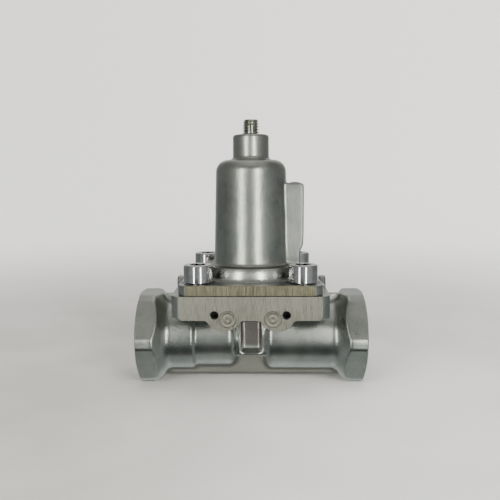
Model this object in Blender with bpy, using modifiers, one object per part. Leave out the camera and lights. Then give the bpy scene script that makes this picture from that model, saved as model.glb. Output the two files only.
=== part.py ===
"""Adjustable diaphragm overflow valve with two threaded ports, built as separate pieces.

Run with: blender --background --python part.py, or from Blender's text editor.
Units are metres. +Z points up along the spring cap. X runs along the two ports, and the pipe axis
lies half a hexagon above z = 0, so the valve stands on the flats of its two hexagons.
"""
import math

import bmesh
import bpy
from mathutils import Matrix, Vector

MM = 0.001

# ---- clearances -----------------------------------------------------------------------------
GAP = 0.3 * MM                    # between pieces that touch, seat on or pass through each other
OVERRUN = 1.0 * MM                # how far a cutter runs past the face that it opens
STEPS = 36                        # sides of a large turned shape
SMALL_STEPS = 20                  # sides of a small turned shape
HOLE_STEPS = 14                   # sides of a small hole

# ---- ports and pipes ------------------------------------------------------------------------
BODY_LENGTH = 83.0 * MM           # from port face to port face
HEX_FLATS = 32.0 * MM             # across the flats of a hexagon end
HEX_CORNER_CUT = 1.9 * MM         # chamfer along each long edge of the hexagon
HEX_LENGTH = 7.9 * MM             # from the port face to the mid-facet inner edge
HEX_SHOULDER_SLOPE = 0.74         # how far the inner cone runs along X for each unit of radius
HEX_FACE_RADIUS = 15.0 * MM       # flat ring left by the outer chamfer on the port face
HEX_FACE_SLOPE = 0.34             # how far that chamfer runs along X for each unit of radius
PIPE_RADIUS = 12.8 * MM
PIPE_WAIST_RADIUS = 11.75 * MM    # slimmer stretch of the inlet pipe
PIPE_STEP_X = -20.9 * MM          # middle of the step between the two inlet radii
PIPE_STEP_LENGTH = 1.4 * MM
LOBE_GAP = 10.1 * MM              # between the rounded inner ends of the two pipes
LOBE_CENTRE_X = -0.25 * MM
LOBE_ROUNDING = 3.0 * MM
PORT_THREAD_RADIUS = 10.25 * MM   # minor radius of the M22 x 1.5 port thread
PORT_THREAD_DEPTH = 15.0 * MM
PORT_CHAMFER = 1.3 * MM
PIPE_BORE_RADIUS = 9.0 * MM
PASSAGE_RADIUS = 4.4 * MM         # seat bore
OUTLET_PASSAGE_RADIUS = 4.9 * MM
INLET_BORE_END_X = -8.5 * MM
OUTLET_SEAT_X = 9.5 * MM          # shoulder that the check valve closes on
INLET_WINDOW_X = -12.2 * MM       # opening from the inlet bore up into the diaphragm chamber
INLET_WINDOW_RADIUS = 3.6 * MM
WINDOW_DEPTH = 4.5 * MM           # the window's cutter starts this far above the pipe axis

# ---- web, waist and flange of the body ------------------------------------------------------
WEB_THICKNESS = 3.0 * MM
WEB_FOOT_CLEARANCE = 0.5 * MM     # the web stays this far above the hexagon flats
WEB_INTO_HEXAGON = 0.6 * MM
WAIST_INTO_LOBES = 1.0 * MM       # the waist's core reaches this far into the pipes' rounded ends
WAIST_CORE_DEPTH = 8.4 * MM       # from the middle plane to the floor of the pocket
WAIST_DEPTH = 10.4 * MM
WAIST_WIDTH = 9.2 * MM
WAIST_ROUNDING = 1.2 * MM
WAIST_STEP = 0.5 * MM             # between the ends of the core and those of the waist
CORE_BELOW_CHAMBER = 0.8 * MM
POCKET_WIDTH = 7.0 * MM
POCKET_HEIGHT = 8.8 * MM
POCKET_BOTTOM = -2.0 * MM         # from the pipe axis
LIP_BOTTOM = -5.8 * MM            # lower end of the waist, from the pipe axis
FLANGE_LENGTH = 54.0 * MM         # body flange along X
FLANGE_WIDTH = 49.6 * MM          # body flange along Y
FLANGE_THICKNESS = 8.3 * MM
FLANGE_CORNER = 5.0 * MM
FLANGE_LOWER_EDGE = 2.6 * MM
JOINT_HEIGHT = 18.73 * MM         # top of the body flange above the pipe axis
BOSS_RADIUS = 6.3 * MM            # half-round bosses under the flange
BOSS_SPREAD = 18.0 * MM           # between the centres of two bosses
BOSS_DROP = 5.7 * MM              # boss centre below the top of the flange
BOSS_SETBACK = 0.15 * MM          # boss face behind the flange face
PLUG_HOLE_RADIUS = 2.9 * MM
PLUG_SPREAD = 15.2 * MM
PLUG_DROP = 7.7 * MM
PLUG_LENGTH = 3.4 * MM
PLUG_PASSAGE_RADIUS = 1.6 * MM
VENT_RADIUS = 1.45 * MM
VENT_SPREAD = 24.2 * MM
VENT_DROP = 6.3 * MM
VENT_DEPTH = 4.6 * MM
LUG_THICKNESS = 2.4 * MM          # cast lugs beside the cap flange, which locate the cap
LUG_WIDTH = 5.4 * MM
LUG_ABOVE_JOINT = 3.4 * MM
LUG_TOP_ROUNDING = 2.0 * MM
LUG_SIDE_ROUNDING = 0.8 * MM
LUG_ROOT = 1.0 * MM               # the lug starts this far above the rounded edge of the flange
PLUG_PASSAGE_END = 12.6 * MM      # from the middle plane, inside the chamber
BOSS_CUT = 0.4                    # how far up the flange the bosses are cut off, of its thickness

# ---- screws ---------------------------------------------------------------------------------
SCREW_SPACING = 36.0 * MM
SCREW_RADIUS = 3.0 * MM           # M6
SCREW_HEAD_RADIUS = 5.0 * MM
SCREW_HEAD_HEIGHT = 6.0 * MM
SCREW_LENGTH = 11.6 * MM
SCREW_SOCKET_FLATS = 5.0 * MM
SCREW_SOCKET_DEPTH = 3.0 * MM
SCREW_EDGE = 0.4 * MM
PLUG_DOME = 0.35 * MM
PLUG_EDGE = 0.3 * MM

# ---- diaphragm and seat ---------------------------------------------------------------------
CHAMBER_RADIUS = 16.8 * MM
CHAMBER_FLOOR = 2.0 * MM          # wall left under the chamber
DIAPHRAGM_THICKNESS = 1.4 * MM
DIAPHRAGM_RADIUS = 20.6 * MM
DIAPHRAGM_RIM_INNER = 15.9 * MM
SEAT_SLEEVE_WALL = 1.5 * MM
SEAT_SLEEVE_LENGTH = 5.6 * MM
SEAT_FLANGE_RADIUS = 8.0 * MM
SEAT_FLANGE_THICKNESS = 0.8 * MM
SEAT_LIP_WIDTH = 1.2 * MM
SEAT_LIP_HEIGHT = 0.6 * MM
SEAT_LIP_SLOPE = 0.3 * MM
SEAT_GROOVE_DEPTH = 0.9 * MM
SEAT_GROOVE_DROP = 1.2 * MM       # from the underside of the seat's flange to its O-ring groove
O_RING_SECTION = 1.5 * MM
PLATE_RADIUS = 12.4 * MM
PLATE_THICKNESS = 1.1 * MM
PLATE_SHOULDER_HEIGHT = 0.9 * MM
PLATE_BOSS_HEIGHT = 3.4 * MM
PLATE_BOSS_EDGE = 0.6 * MM
PLATE_SHOULDER_CLEARANCE = 1.0 * MM
DISC_PAST_PLATE = 0.4 * MM
DISC_BEND = 0.5 * MM
DISC_BEND_RISE = 0.2 * MM
LIFT = 2.2 * MM                   # travel of the plate up to the step in the cap
RIVET_RADIUS = 1.9 * MM
RIVET_HEAD_RADIUS = 3.3 * MM
RIVET_HEAD_HEIGHT = 1.4 * MM
RIVET_CLOSED_HEIGHT = 1.0 * MM

# ---- spring cap -----------------------------------------------------------------------------
CAP_FLANGE_LENGTH = 49.2 * MM
CAP_FLANGE_WIDTH = 49.6 * MM
CAP_FLANGE_THICKNESS = 3.4 * MM
CAP_FLANGE_CORNER = 5.0 * MM
CAP_RING_RADIUS = 18.5 * MM
CAP_RING_HEIGHT = 4.45 * MM       # above the cap flange
CAP_STEP_RADIUS = 19.2 * MM
CAP_STEP_HEIGHT = 1.1 * MM
CAP_BASE_RADIUS = 13.7 * MM
CAP_TOP_RADIUS = 12.85 * MM
CAP_HEIGHT = 42.4 * MM            # from the cap flange to the shoulder
CAP_SHOULDER_ROUNDING = 4.3 * MM
CAP_BASE_FILLET = 1.6 * MM
CAP_WALL = 2.0 * MM
CAP_ROOF = 3.0 * MM
CAP_ROOF_SLOPE = 2.4 * MM         # chamfer between the spring room and its roof
CAP_EDGE = 0.6 * MM               # rounding on top of the base ring
CAP_STEP_SLOPE = 0.2 * MM
CAP_PLATE_CLEARANCE = 1.0 * MM    # round the diaphragm plate
NECK_RADIUS = 6.6 * MM
NECK_HEIGHT = 9.1 * MM
NECK_CHAMFER = 0.9 * MM
NECK_FILLET = 0.7 * MM
RIB_REACH = 19.1 * MM             # outer face of the rib from the cap's axis
RIB_LOWER_REACH = 17.85 * MM
RIB_THICKNESS = 11.6 * MM
RIB_TOP_BELOW_SHOULDER = 8.4 * MM
RIB_STEP_BELOW_SHOULDER = 31.8 * MM
RIB_STEP_LENGTH = 2.0 * MM
RIB_ROUNDING = 1.2 * MM
RIB_ROOT = 3.0 * MM               # the rib starts this far inside the spring room, then is cut off

# ---- springs and adjuster -------------------------------------------------------------------
SPRING_WIRE = 2.4 * MM
SPRING_BORE_CLEARANCE = 1.4 * MM  # between the spring and the wall of the cap
SPRING_TURNS = 7.0
UPPER_SEAT_THICKNESS = 2.0 * MM
UPPER_SEAT_SPIGOT = 3.4 * MM
UPPER_SEAT_BOSS_RADIUS = 4.2 * MM
UPPER_SEAT_BOSS_HEIGHT = 1.2 * MM
UPPER_SEAT_SLOPE = 0.3 * MM
UPPER_SEAT_MARGIN = 0.4 * MM      # past the outside of the spring
SPIGOT_SLOPE = 0.8 * MM
SPRING_GUIDE_CLEARANCE = 0.8 * MM
ADJUSTER_RADIUS = 3.0 * MM        # M6
ADJUSTER_LENGTH = 21.5 * MM
ADJUSTER_ABOVE_NECK = 5.4 * MM
ADJUSTER_CHAMFER = 0.7 * MM
ADJUSTER_SOCKET_FLATS = 3.0 * MM
ADJUSTER_SOCKET_DEPTH = 2.6 * MM

# ---- check valve in the outlet --------------------------------------------------------------
CHECK_SEAL_THICKNESS = 1.4 * MM
CHECK_SEAL_RADIUS = 6.6 * MM
CHECK_DISC_THICKNESS = 1.4 * MM
CHECK_HUB_RADIUS = 3.0 * MM
CHECK_HUB_LENGTH = 1.4 * MM
CHECK_NOSE_RADIUS = 2.2 * MM
CHECK_STEM_RADIUS = 1.7 * MM
CHECK_STEM_PAST_RETAINER = 1.6 * MM
CHECK_STEM_EDGE = 0.4 * MM
CHECK_SPRING_CLEARANCE = 0.5 * MM
CHECK_SPRING_LENGTH = 7.4 * MM
CHECK_SPRING_WIRE = 0.5 * MM
CHECK_SPRING_TURNS = 4.5
RETAINER_THICKNESS = 1.5 * MM
RETAINER_HOLES = 6
RETAINER_HOLE_RADIUS = 1.6 * MM
RETAINER_HOLE_EDGE = 0.5 * MM     # wall between a flow hole and the rim
RING_THICKNESS = 1.0 * MM
RING_WIDTH = 1.7 * MM
RING_GROOVE_DEPTH = 0.9 * MM
RING_OPENING = 5.0 * MM

# ---- heights and places that follow from the sizes above ------------------------------------
AXIS_Z = HEX_FLATS / 2
PORT_X = BODY_LENGTH / 2
HEX_INNER_X = PORT_X - HEX_LENGTH
FLANGE_TOP = AXIS_Z + JOINT_HEIGHT
FLANGE_BOTTOM = FLANGE_TOP - FLANGE_THICKNESS
FRONT_Y = -FLANGE_WIDTH / 2
CHAMBER_Z = FLANGE_BOTTOM + CHAMBER_FLOOR
CAP_BOTTOM = FLANGE_TOP + GAP
CAP_FLANGE_TOP = CAP_BOTTOM + CAP_FLANGE_THICKNESS
CAP_SHOULDER_Z = CAP_FLANGE_TOP + CAP_HEIGHT
NECK_TOP = CAP_SHOULDER_Z + NECK_HEIGHT
SPRING_BORE_RADIUS = CAP_TOP_RADIUS - CAP_WALL
SPRING_ROOM_TOP = CAP_SHOULDER_Z - CAP_ROOF

SEAT_FLANGE_Z = CHAMBER_Z + GAP
SEAT_LIP_Z = SEAT_FLANGE_Z + SEAT_FLANGE_THICKNESS + SEAT_LIP_HEIGHT
SEAT_SLEEVE_RADIUS = PASSAGE_RADIUS + SEAT_SLEEVE_WALL
SEAT_SLEEVE_Z = SEAT_FLANGE_Z - SEAT_SLEEVE_LENGTH
RIM_TOP = FLANGE_TOP - GAP / 10
RIM_Z = RIM_TOP - DIAPHRAGM_THICKNESS
RECESS_Z = RIM_Z - GAP
DISC_Z = SEAT_LIP_Z + GAP
DISC_TOP = DISC_Z + DIAPHRAGM_THICKNESS
PLATE_Z = DISC_TOP + GAP
PLATE_STOP_Z = PLATE_Z + PLATE_THICKNESS + LIFT + GAP
PLATE_SHOULDER_RADIUS = SPRING_BORE_RADIUS - PLATE_SHOULDER_CLEARANCE
PLATE_SHOULDER_TOP = PLATE_Z + PLATE_THICKNESS + PLATE_SHOULDER_HEIGHT
SPRING_OUTER = SPRING_BORE_RADIUS - SPRING_BORE_CLEARANCE
SPRING_MEAN = SPRING_OUTER - SPRING_WIRE / 2
SPRING_GUIDE_RADIUS = SPRING_OUTER - SPRING_WIRE - SPRING_GUIDE_CLEARANCE

ADJUSTER_TIP = NECK_TOP + ADJUSTER_ABOVE_NECK
ADJUSTER_FOOT = ADJUSTER_TIP - ADJUSTER_LENGTH
UPPER_SEAT_TOP = ADJUSTER_FOOT - GAP - UPPER_SEAT_BOSS_HEIGHT
UPPER_SEAT_Z = UPPER_SEAT_TOP - UPPER_SEAT_THICKNESS

SCREW_SEAT_Z = CAP_FLANGE_TOP + GAP
SCREW_PLACES = {
    "front_left": (-SCREW_SPACING / 2, -SCREW_SPACING / 2),
    "front_right": (SCREW_SPACING / 2, -SCREW_SPACING / 2),
    "rear_left": (-SCREW_SPACING / 2, SCREW_SPACING / 2),
    "rear_right": (SCREW_SPACING / 2, SCREW_SPACING / 2),
}

CHECK_DISC_X = OUTLET_SEAT_X + GAP + CHECK_SEAL_THICKNESS + GAP
CHECK_SPRING_X = CHECK_DISC_X + CHECK_DISC_THICKNESS + GAP
RETAINER_X = CHECK_SPRING_X + CHECK_SPRING_LENGTH + GAP
RETAINER_RADIUS = PIPE_BORE_RADIUS - GAP
RING_X = RETAINER_X + RETAINER_THICKNESS + GAP
RING_OUTER = PIPE_BORE_RADIUS + RING_GROOVE_DEPTH - GAP


# ---- modelling tools ------------------------------------------------------------------------
def clear_scene():
    """Removes what the file opens with."""
    for obj in list(bpy.data.objects):
        bpy.data.objects.remove(obj, do_unlink=True)


def new_collection(name):
    """A collection linked to the scene."""
    collection = bpy.data.collections.new(name)
    bpy.context.scene.collection.children.link(collection)
    return collection


def material(name, colour, roughness, metallic):
    """A Principled material."""
    made = bpy.data.materials.new(name)
    made.use_nodes = True
    shader = made.node_tree.nodes["Principled BSDF"]
    shader.inputs["Base Color"].default_value = (*colour, 1.0)
    shader.inputs["Roughness"].default_value = roughness
    shader.inputs["Metallic"].default_value = metallic
    return made


def put(name, mesh, collection):
    """An object with this mesh in this collection."""
    obj = bpy.data.objects.new(name, mesh)
    collection.objects.link(obj)
    return obj


def helper(obj):
    """Makes an object a cutter or a shape that another one takes in."""
    obj.hide_render = True
    obj.display_type = "WIRE"
    return obj


def box(name, low, high, collection):
    """A box from its lowest to its highest corner."""
    shape = bmesh.new()
    bmesh.ops.create_cube(shape, size=1.0)
    size = Vector(high) - Vector(low)
    middle = (Vector(high) + Vector(low)) / 2
    place = Matrix.Translation(middle) @ Matrix.Diagonal((*size, 1))
    bmesh.ops.transform(shape, matrix=place, verts=shape.verts)
    return put(name, mesh_from(shape, name), collection)


def mesh_from(shape, name):
    """Turns a bmesh into a mesh and frees it."""
    mesh = bpy.data.meshes.new(name)
    shape.to_mesh(mesh)
    shape.free()
    return mesh


def round_edges(obj, width, along, segments=4, where=None):
    """Bevels the straight edges of a box-like mesh that run along one axis."""
    shape = bmesh.new()
    shape.from_mesh(obj.data)
    chosen = []
    for edge in shape.edges:
        run = edge.verts[1].co - edge.verts[0].co
        middle = (edge.verts[1].co + edge.verts[0].co) / 2
        if abs(run.normalized()[along]) > 0.999 and (where is None or where(middle)):
            chosen.append(edge)
    bmesh.ops.bevel(shape, geom=chosen, offset=width, offset_type="OFFSET", affect="EDGES",
                    segments=segments, profile=0.5, material=-1)
    shape.to_mesh(obj.data)
    shape.free()
    return obj


def cylinder(name, radius, start, end, along, place, collection, steps=SMALL_STEPS):
    """A cylinder along X (0), Y (1) or Z (2), from start to end on that axis."""
    shape = bmesh.new()
    bmesh.ops.create_cone(shape, cap_ends=True, segments=steps, radius1=radius, radius2=radius,
                          depth=end - start)
    turn = (Matrix.Rotation(math.radians(90), 4, "Y"), Matrix.Rotation(math.radians(-90), 4, "X"),
            Matrix.Identity(4))[along]
    centre = Vector(place)
    centre[along] = (start + end) / 2
    bmesh.ops.transform(shape, matrix=Matrix.Translation(centre) @ turn, verts=shape.verts)
    return put(name, mesh_from(shape, name), collection)


def arc(centre, radius, start, end, count):
    """Points on a circle in the profile plane, with angles in degrees from +X towards +Z."""
    points = []
    for step in range(count + 1):
        angle = math.radians(start + (end - start) * step / count)
        points.append((centre[0] + radius * math.cos(angle), centre[1] + radius * math.sin(angle)))
    return points


def turned(name, profile, collection, steps=STEPS, closed=False, half_step=False):
    """A profile of (radius, height) points turned about Z, running down its outer side.

    A cutter starts half a step round, so that its corners don't fall on those of the shape it cuts.
    """
    shape = bmesh.new()
    start = Matrix.Rotation(math.pi / steps if half_step else 0.0, 3, "Z")
    verts = [shape.verts.new(start @ Vector((radius, 0.0, height))) for radius, height in profile]
    for first, second in zip(verts, verts[1:]):
        shape.edges.new((first, second))
    if closed:
        shape.edges.new((verts[-1], verts[0]))
    obj = put(name, mesh_from(shape, name), collection)
    screw = obj.modifiers.new("turn", "SCREW")
    screw.axis = "Z"
    screw.steps = steps
    screw.render_steps = steps
    screw.use_merge_vertices = True
    screw.merge_threshold = 0.00001
    return obj


def lay_on_pipe_axis(obj, side=1):
    """Lays a shape turned about Z on the pipe axis, its top towards +X (side 1) or -X (side -1)."""
    obj.rotation_euler = (0.0, side * math.radians(90), 0.0)
    obj.location = (0.0, 0.0, AXIS_Z)
    return obj


def plate(name, outline, half_thickness, collection):
    """A flat outline in the XZ plane, thickened to both sides along Y."""
    curve = bpy.data.curves.new(name, "CURVE")
    curve.dimensions = "2D"
    curve.fill_mode = "BOTH"
    curve.extrude = half_thickness
    spline = curve.splines.new("POLY")
    spline.points.add(len(outline) - 1)
    for point, (x, z) in zip(spline.points, outline):
        point.co = (x, z, 0.0, 1.0)
    spline.use_cyclic_u = True
    drawn = put(name + "_outline", curve, collection)
    drawn.rotation_euler = (math.radians(90), 0.0, 0.0)
    return made_mesh(drawn, name, collection)


def made_mesh(drawn, name, collection):
    """Replaces a curve object with its welded mesh."""
    bpy.context.view_layer.update()
    graph = bpy.context.evaluated_depsgraph_get()
    mesh = bpy.data.meshes.new_from_object(drawn.evaluated_get(graph))
    shape = bmesh.new()
    shape.from_mesh(mesh)
    bmesh.ops.remove_doubles(shape, verts=shape.verts, dist=0.000001)
    bmesh.ops.recalc_face_normals(shape, faces=shape.faces)
    shape.to_mesh(mesh)
    shape.free()
    obj = put(name, mesh, collection)
    obj.matrix_world = drawn.matrix_world.copy()
    bpy.data.objects.remove(drawn, do_unlink=True)
    return obj


def coil(name, radius, wire, turns, length, collection, points_per_turn=12):
    """A spring about Z from z = 0 to its length, with closed flat end turns."""
    rise = length - wire
    count = int(turns * points_per_turn)
    curve = bpy.data.curves.new(name, "CURVE")
    curve.dimensions = "3D"
    curve.bevel_depth = wire / 2
    curve.bevel_resolution = 2
    curve.use_fill_caps = True
    spline = curve.splines.new("POLY")
    spline.points.add(count)
    end_turn = 1.0
    end_rise = 1.12 * wire
    for index, point in enumerate(spline.points):
        turn = turns * index / count
        if turn < end_turn:
            height = end_rise * turn / end_turn
        elif turn > turns - end_turn:
            height = rise - end_rise * (turns - turn) / end_turn
        else:
            height = end_rise + (rise - 2 * end_rise) * (turn - end_turn) / (turns - 2 * end_turn)
        angle = 2 * math.pi * turn
        point.co = (radius * math.cos(angle), radius * math.sin(angle), wire / 2 + height, 1.0)
    drawn = put(name + "_wire", curve, collection)
    return made_mesh(drawn, name, collection)


def combine(target, tool, operation):
    """Joins to, cuts from or keeps the common part of target with a helper shape."""
    helper(tool)
    step = target.modifiers.new(operation.lower() + "_" + tool.name, "BOOLEAN")
    step.operation = operation
    step.solver = "EXACT"
    step.object = tool


def finish(obj, finish_material):
    """Gives a piece its material and its smooth shading."""
    obj.data.materials.clear()
    obj.data.materials.append(finish_material)
    obj.data.shade_smooth()
    obj.data.set_sharp_from_angle(angle=math.radians(35))
    return obj


def group_at(name, place, collection):
    """An empty on a joint's axis that its pieces hang from."""
    empty = bpy.data.objects.new(name, None)
    empty.empty_display_size = 0.01
    empty.location = place
    collection.objects.link(empty)
    return empty


def hang(obj, group):
    """Parents a piece without moving it in the world."""
    bpy.context.view_layer.update()
    obj.parent = group
    obj.matrix_parent_inverse = group.matrix_world.inverted()


# ---- body -----------------------------------------------------------------------------------
def pipe_and_hexagon(name, side, tools):
    """One pipe with its rounded inner end and its hexagon: a turned outline kept inside a prism.

    The outline holds the hexagon's two chamfers. The inlet pipe has a slimmer stretch next to the waist.
    """
    flat = HEX_FLATS / 2
    corner = flat / math.cos(math.radians(30))
    inner_x = LOBE_GAP / 2 + side * LOBE_CENTRE_X
    slim = PIPE_RADIUS if side > 0 else PIPE_WAIST_RADIUS
    profile = [
        (0.0, PORT_X),
        (HEX_FACE_RADIUS, PORT_X),
        (corner, PORT_X - HEX_FACE_SLOPE * (corner - HEX_FACE_RADIUS)),
        (corner, HEX_INNER_X + HEX_SHOULDER_SLOPE * (corner - flat)),
        (PIPE_RADIUS, HEX_INNER_X - HEX_SHOULDER_SLOPE * (flat - PIPE_RADIUS)),
    ]
    if side < 0:
        profile += [
            (PIPE_RADIUS, -PIPE_STEP_X + PIPE_STEP_LENGTH / 2),
            (PIPE_WAIST_RADIUS, -PIPE_STEP_X - PIPE_STEP_LENGTH / 2),
        ]
    profile += arc((slim - LOBE_ROUNDING, inner_x + LOBE_ROUNDING), LOBE_ROUNDING, 0, -90, 4)
    profile.append((0.0, inner_x))
    made = lay_on_pipe_axis(turned(name, profile, tools), side)

    shape = bmesh.new()
    bmesh.ops.create_cone(shape, cap_ends=True, segments=6, radius1=corner, radius2=corner,
                          depth=PORT_X + 2 * OVERRUN)
    bmesh.ops.translate(shape, verts=shape.verts, vec=(0, 0, (PORT_X + 2 * OVERRUN) / 2))
    prism = lay_on_pipe_axis(put(name + "_prism", mesh_from(shape, name), tools), side)
    round_edges(prism, HEX_CORNER_CUT, along=2, segments=1)
    combine(made, prism, "INTERSECT")
    return made


def port_bore(name, side, tools):
    """The threaded port, the bore behind it and, in the outlet, the groove for the retaining ring."""
    thread_end = PORT_X - PORT_THREAD_DEPTH
    bore_end = OUTLET_SEAT_X if side > 0 else -INLET_BORE_END_X
    mouth = PORT_THREAD_RADIUS + PORT_CHAMFER
    profile = [
        (0.0, PORT_X + OVERRUN),
        (mouth + OVERRUN, PORT_X + OVERRUN),
        (mouth, PORT_X),
        (PORT_THREAD_RADIUS, PORT_X - PORT_CHAMFER),
        (PORT_THREAD_RADIUS, thread_end),
        (PIPE_BORE_RADIUS, thread_end - (PORT_THREAD_RADIUS - PIPE_BORE_RADIUS)),
    ]
    if side > 0:
        groove = PIPE_BORE_RADIUS + RING_GROOVE_DEPTH
        profile += [
            (PIPE_BORE_RADIUS, RING_X + RING_THICKNESS + GAP),
            (groove, RING_X + RING_THICKNESS + GAP),
            (groove, RING_X - GAP / 2),
            (PIPE_BORE_RADIUS, RING_X - GAP / 2),
        ]
    profile += [(PIPE_BORE_RADIUS, bore_end), (0.0, bore_end)]
    return lay_on_pipe_axis(turned(name, profile, tools, half_step=True), side)


def chamber(tools):
    """Diaphragm chamber, recess for the rim, counterbore for the seat and the seat passage."""
    sleeve = SEAT_SLEEVE_RADIUS + GAP
    return turned("chamber", [
        (0.0, FLANGE_TOP + OVERRUN),
        (DIAPHRAGM_RADIUS + GAP, FLANGE_TOP + OVERRUN),
        (DIAPHRAGM_RADIUS + GAP, RECESS_Z),
        (CHAMBER_RADIUS, RECESS_Z),
        (CHAMBER_RADIUS, CHAMBER_Z),
        (sleeve, CHAMBER_Z),
        (sleeve, SEAT_SLEEVE_Z - GAP),
        (PASSAGE_RADIUS, SEAT_SLEEVE_Z - GAP),
        (PASSAGE_RADIUS, AXIS_Z - OVERRUN),
        (0.0, AXIS_Z - OVERRUN),
    ], tools, half_step=True)


def pocket(tools):
    """Recess in the front of the waist with a sloped lower ledge."""
    outline = [
        (POCKET_BOTTOM, WAIST_CORE_DEPTH),
        (POCKET_BOTTOM + POCKET_HEIGHT, WAIST_CORE_DEPTH),
        (POCKET_BOTTOM + POCKET_HEIGHT, WAIST_DEPTH + OVERRUN),
        (POCKET_BOTTOM - 2 * OVERRUN, WAIST_DEPTH + OVERRUN),
    ]
    shape = bmesh.new()
    corners = [shape.verts.new((-POCKET_WIDTH / 2, -depth, AXIS_Z + height)) for height, depth in outline]
    face = shape.faces.new(corners)
    across = bmesh.ops.extrude_face_region(shape, geom=[face])["geom"]
    moved = [item for item in across if isinstance(item, bmesh.types.BMVert)]
    bmesh.ops.translate(shape, verts=moved, vec=(POCKET_WIDTH, 0, 0))
    bmesh.ops.recalc_face_normals(shape, faces=shape.faces)
    return put("pocket", mesh_from(shape, "pocket"), tools)


def half_round_boss(name, side, tools):
    """A boss that hangs below the flange from front to rear, cut off level inside the flange."""
    reach = FLANGE_WIDTH / 2 - BOSS_SETBACK
    centre = (side * BOSS_SPREAD / 2, 0, FLANGE_TOP - BOSS_DROP)
    boss = cylinder(name, BOSS_RADIUS, -reach, reach, 1, centre, tools, STEPS)
    shape = bmesh.new()
    shape.from_mesh(boss.data)
    everything = list(shape.verts) + list(shape.edges) + list(shape.faces)
    level = FLANGE_BOTTOM + FLANGE_THICKNESS * BOSS_CUT
    cut = bmesh.ops.bisect_plane(shape, geom=everything, plane_co=(0, 0, level), plane_no=(0, 0, 1),
                                 clear_outer=True)["geom_cut"]
    bmesh.ops.contextual_create(shape, geom=[item for item in cut if isinstance(item, bmesh.types.BMEdge)])
    bmesh.ops.recalc_face_normals(shape, faces=shape.faces)
    shape.to_mesh(boss.data)
    shape.free()
    return boss


def valve_body(parts, tools):
    """The die-cast body: hexagon ends, pipes, web, waist, flange, bosses and locating lugs."""
    half_length = FLANGE_LENGTH / 2
    body = box("valve_body", (-half_length, -FLANGE_WIDTH / 2, FLANGE_BOTTOM),
               (half_length, FLANGE_WIDTH / 2, FLANGE_TOP), parts)
    round_edges(body, FLANGE_CORNER, along=2, segments=6)
    round_edges(body, FLANGE_LOWER_EDGE, along=1, segments=4, where=lambda at: at.z < FLANGE_TOP - MM)

    web_x = HEX_INNER_X + WEB_INTO_HEXAGON
    combine(body, box("web", (-web_x, -WEB_THICKNESS / 2, WEB_FOOT_CLEARANCE),
                      (web_x, WEB_THICKNESS / 2, HEX_FLATS - WEB_FOOT_CLEARANCE), tools), "UNION")
    core_x = LOBE_GAP / 2 + WAIST_INTO_LOBES
    core_top = CHAMBER_Z - CORE_BELOW_CHAMBER
    waist_bottom = AXIS_Z + LIP_BOTTOM
    combine(body, box("waist_core", (-core_x, -WAIST_CORE_DEPTH, waist_bottom + WAIST_STEP),
                      (core_x, WAIST_CORE_DEPTH, core_top), tools), "UNION")
    waist = box("waist", (-WAIST_WIDTH / 2, -WAIST_DEPTH, waist_bottom),
                (WAIST_WIDTH / 2, WAIST_DEPTH, core_top - WAIST_STEP), tools)
    combine(body, round_edges(waist, WAIST_ROUNDING, along=2, segments=3), "UNION")
    for side, name in ((-1, "inlet"), (1, "outlet")):
        combine(body, pipe_and_hexagon(name + "_pipe", side, tools), "UNION")
        combine(body, half_round_boss(name + "_boss", side, tools), "UNION")
        lug_x = sorted((side * (CAP_FLANGE_LENGTH / 2 + 2 * GAP),
                        side * (CAP_FLANGE_LENGTH / 2 + 2 * GAP + LUG_THICKNESS)))
        lug = box(name + "_lug", (lug_x[0], -LUG_WIDTH / 2, FLANGE_BOTTOM + FLANGE_LOWER_EDGE + LUG_ROOT),
                  (lug_x[1], LUG_WIDTH / 2, FLANGE_TOP + LUG_ABOVE_JOINT), tools)
        round_edges(lug, LUG_TOP_ROUNDING, along=0, segments=5, where=lambda at: at.z > FLANGE_TOP)
        combine(body, round_edges(lug, LUG_SIDE_ROUNDING, along=2, segments=3), "UNION")

    combine(body, chamber(tools), "DIFFERENCE")
    combine(body, port_bore("inlet_bore", -1, tools), "DIFFERENCE")
    combine(body, port_bore("outlet_bore", 1, tools), "DIFFERENCE")
    combine(body, cylinder("outlet_passage", OUTLET_PASSAGE_RADIUS, -PASSAGE_RADIUS / 2,
                           OUTLET_SEAT_X + OVERRUN, 0, (0, 0, AXIS_Z), tools), "DIFFERENCE")
    combine(body, cylinder("inlet_window", INLET_WINDOW_RADIUS, AXIS_Z + WINDOW_DEPTH, CHAMBER_Z + OVERRUN, 2,
                           (INLET_WINDOW_X, 0, 0), tools), "DIFFERENCE")
    for place, (x, y) in SCREW_PLACES.items():
        combine(body, cylinder("tapped_hole_" + place, SCREW_RADIUS + GAP, FLANGE_BOTTOM - OVERRUN,
                               FLANGE_TOP + OVERRUN, 2, (x, y, 0), tools), "DIFFERENCE")
    for side, name in ((-1, "left"), (1, "right")):
        plug_at = (side * PLUG_SPREAD / 2, 0, FLANGE_TOP - PLUG_DROP)
        combine(body, cylinder("plug_hole_" + name, PLUG_HOLE_RADIUS, FRONT_Y - OVERRUN,
                               FRONT_Y + PLUG_LENGTH + 2 * GAP, 1, plug_at, tools), "DIFFERENCE")
        combine(body, cylinder("plug_passage_" + name, PLUG_PASSAGE_RADIUS, FRONT_Y + PLUG_LENGTH - OVERRUN,
                               -PLUG_PASSAGE_END, 1, plug_at, tools, HOLE_STEPS), "DIFFERENCE")
        combine(body, cylinder("vent_hole_" + name, VENT_RADIUS, FRONT_Y - OVERRUN, FRONT_Y + VENT_DEPTH, 1,
                               (side * VENT_SPREAD / 2, 0, FLANGE_TOP - VENT_DROP), tools, HOLE_STEPS),
                "DIFFERENCE")
    combine(body, pocket(tools), "DIFFERENCE")
    return body


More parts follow.
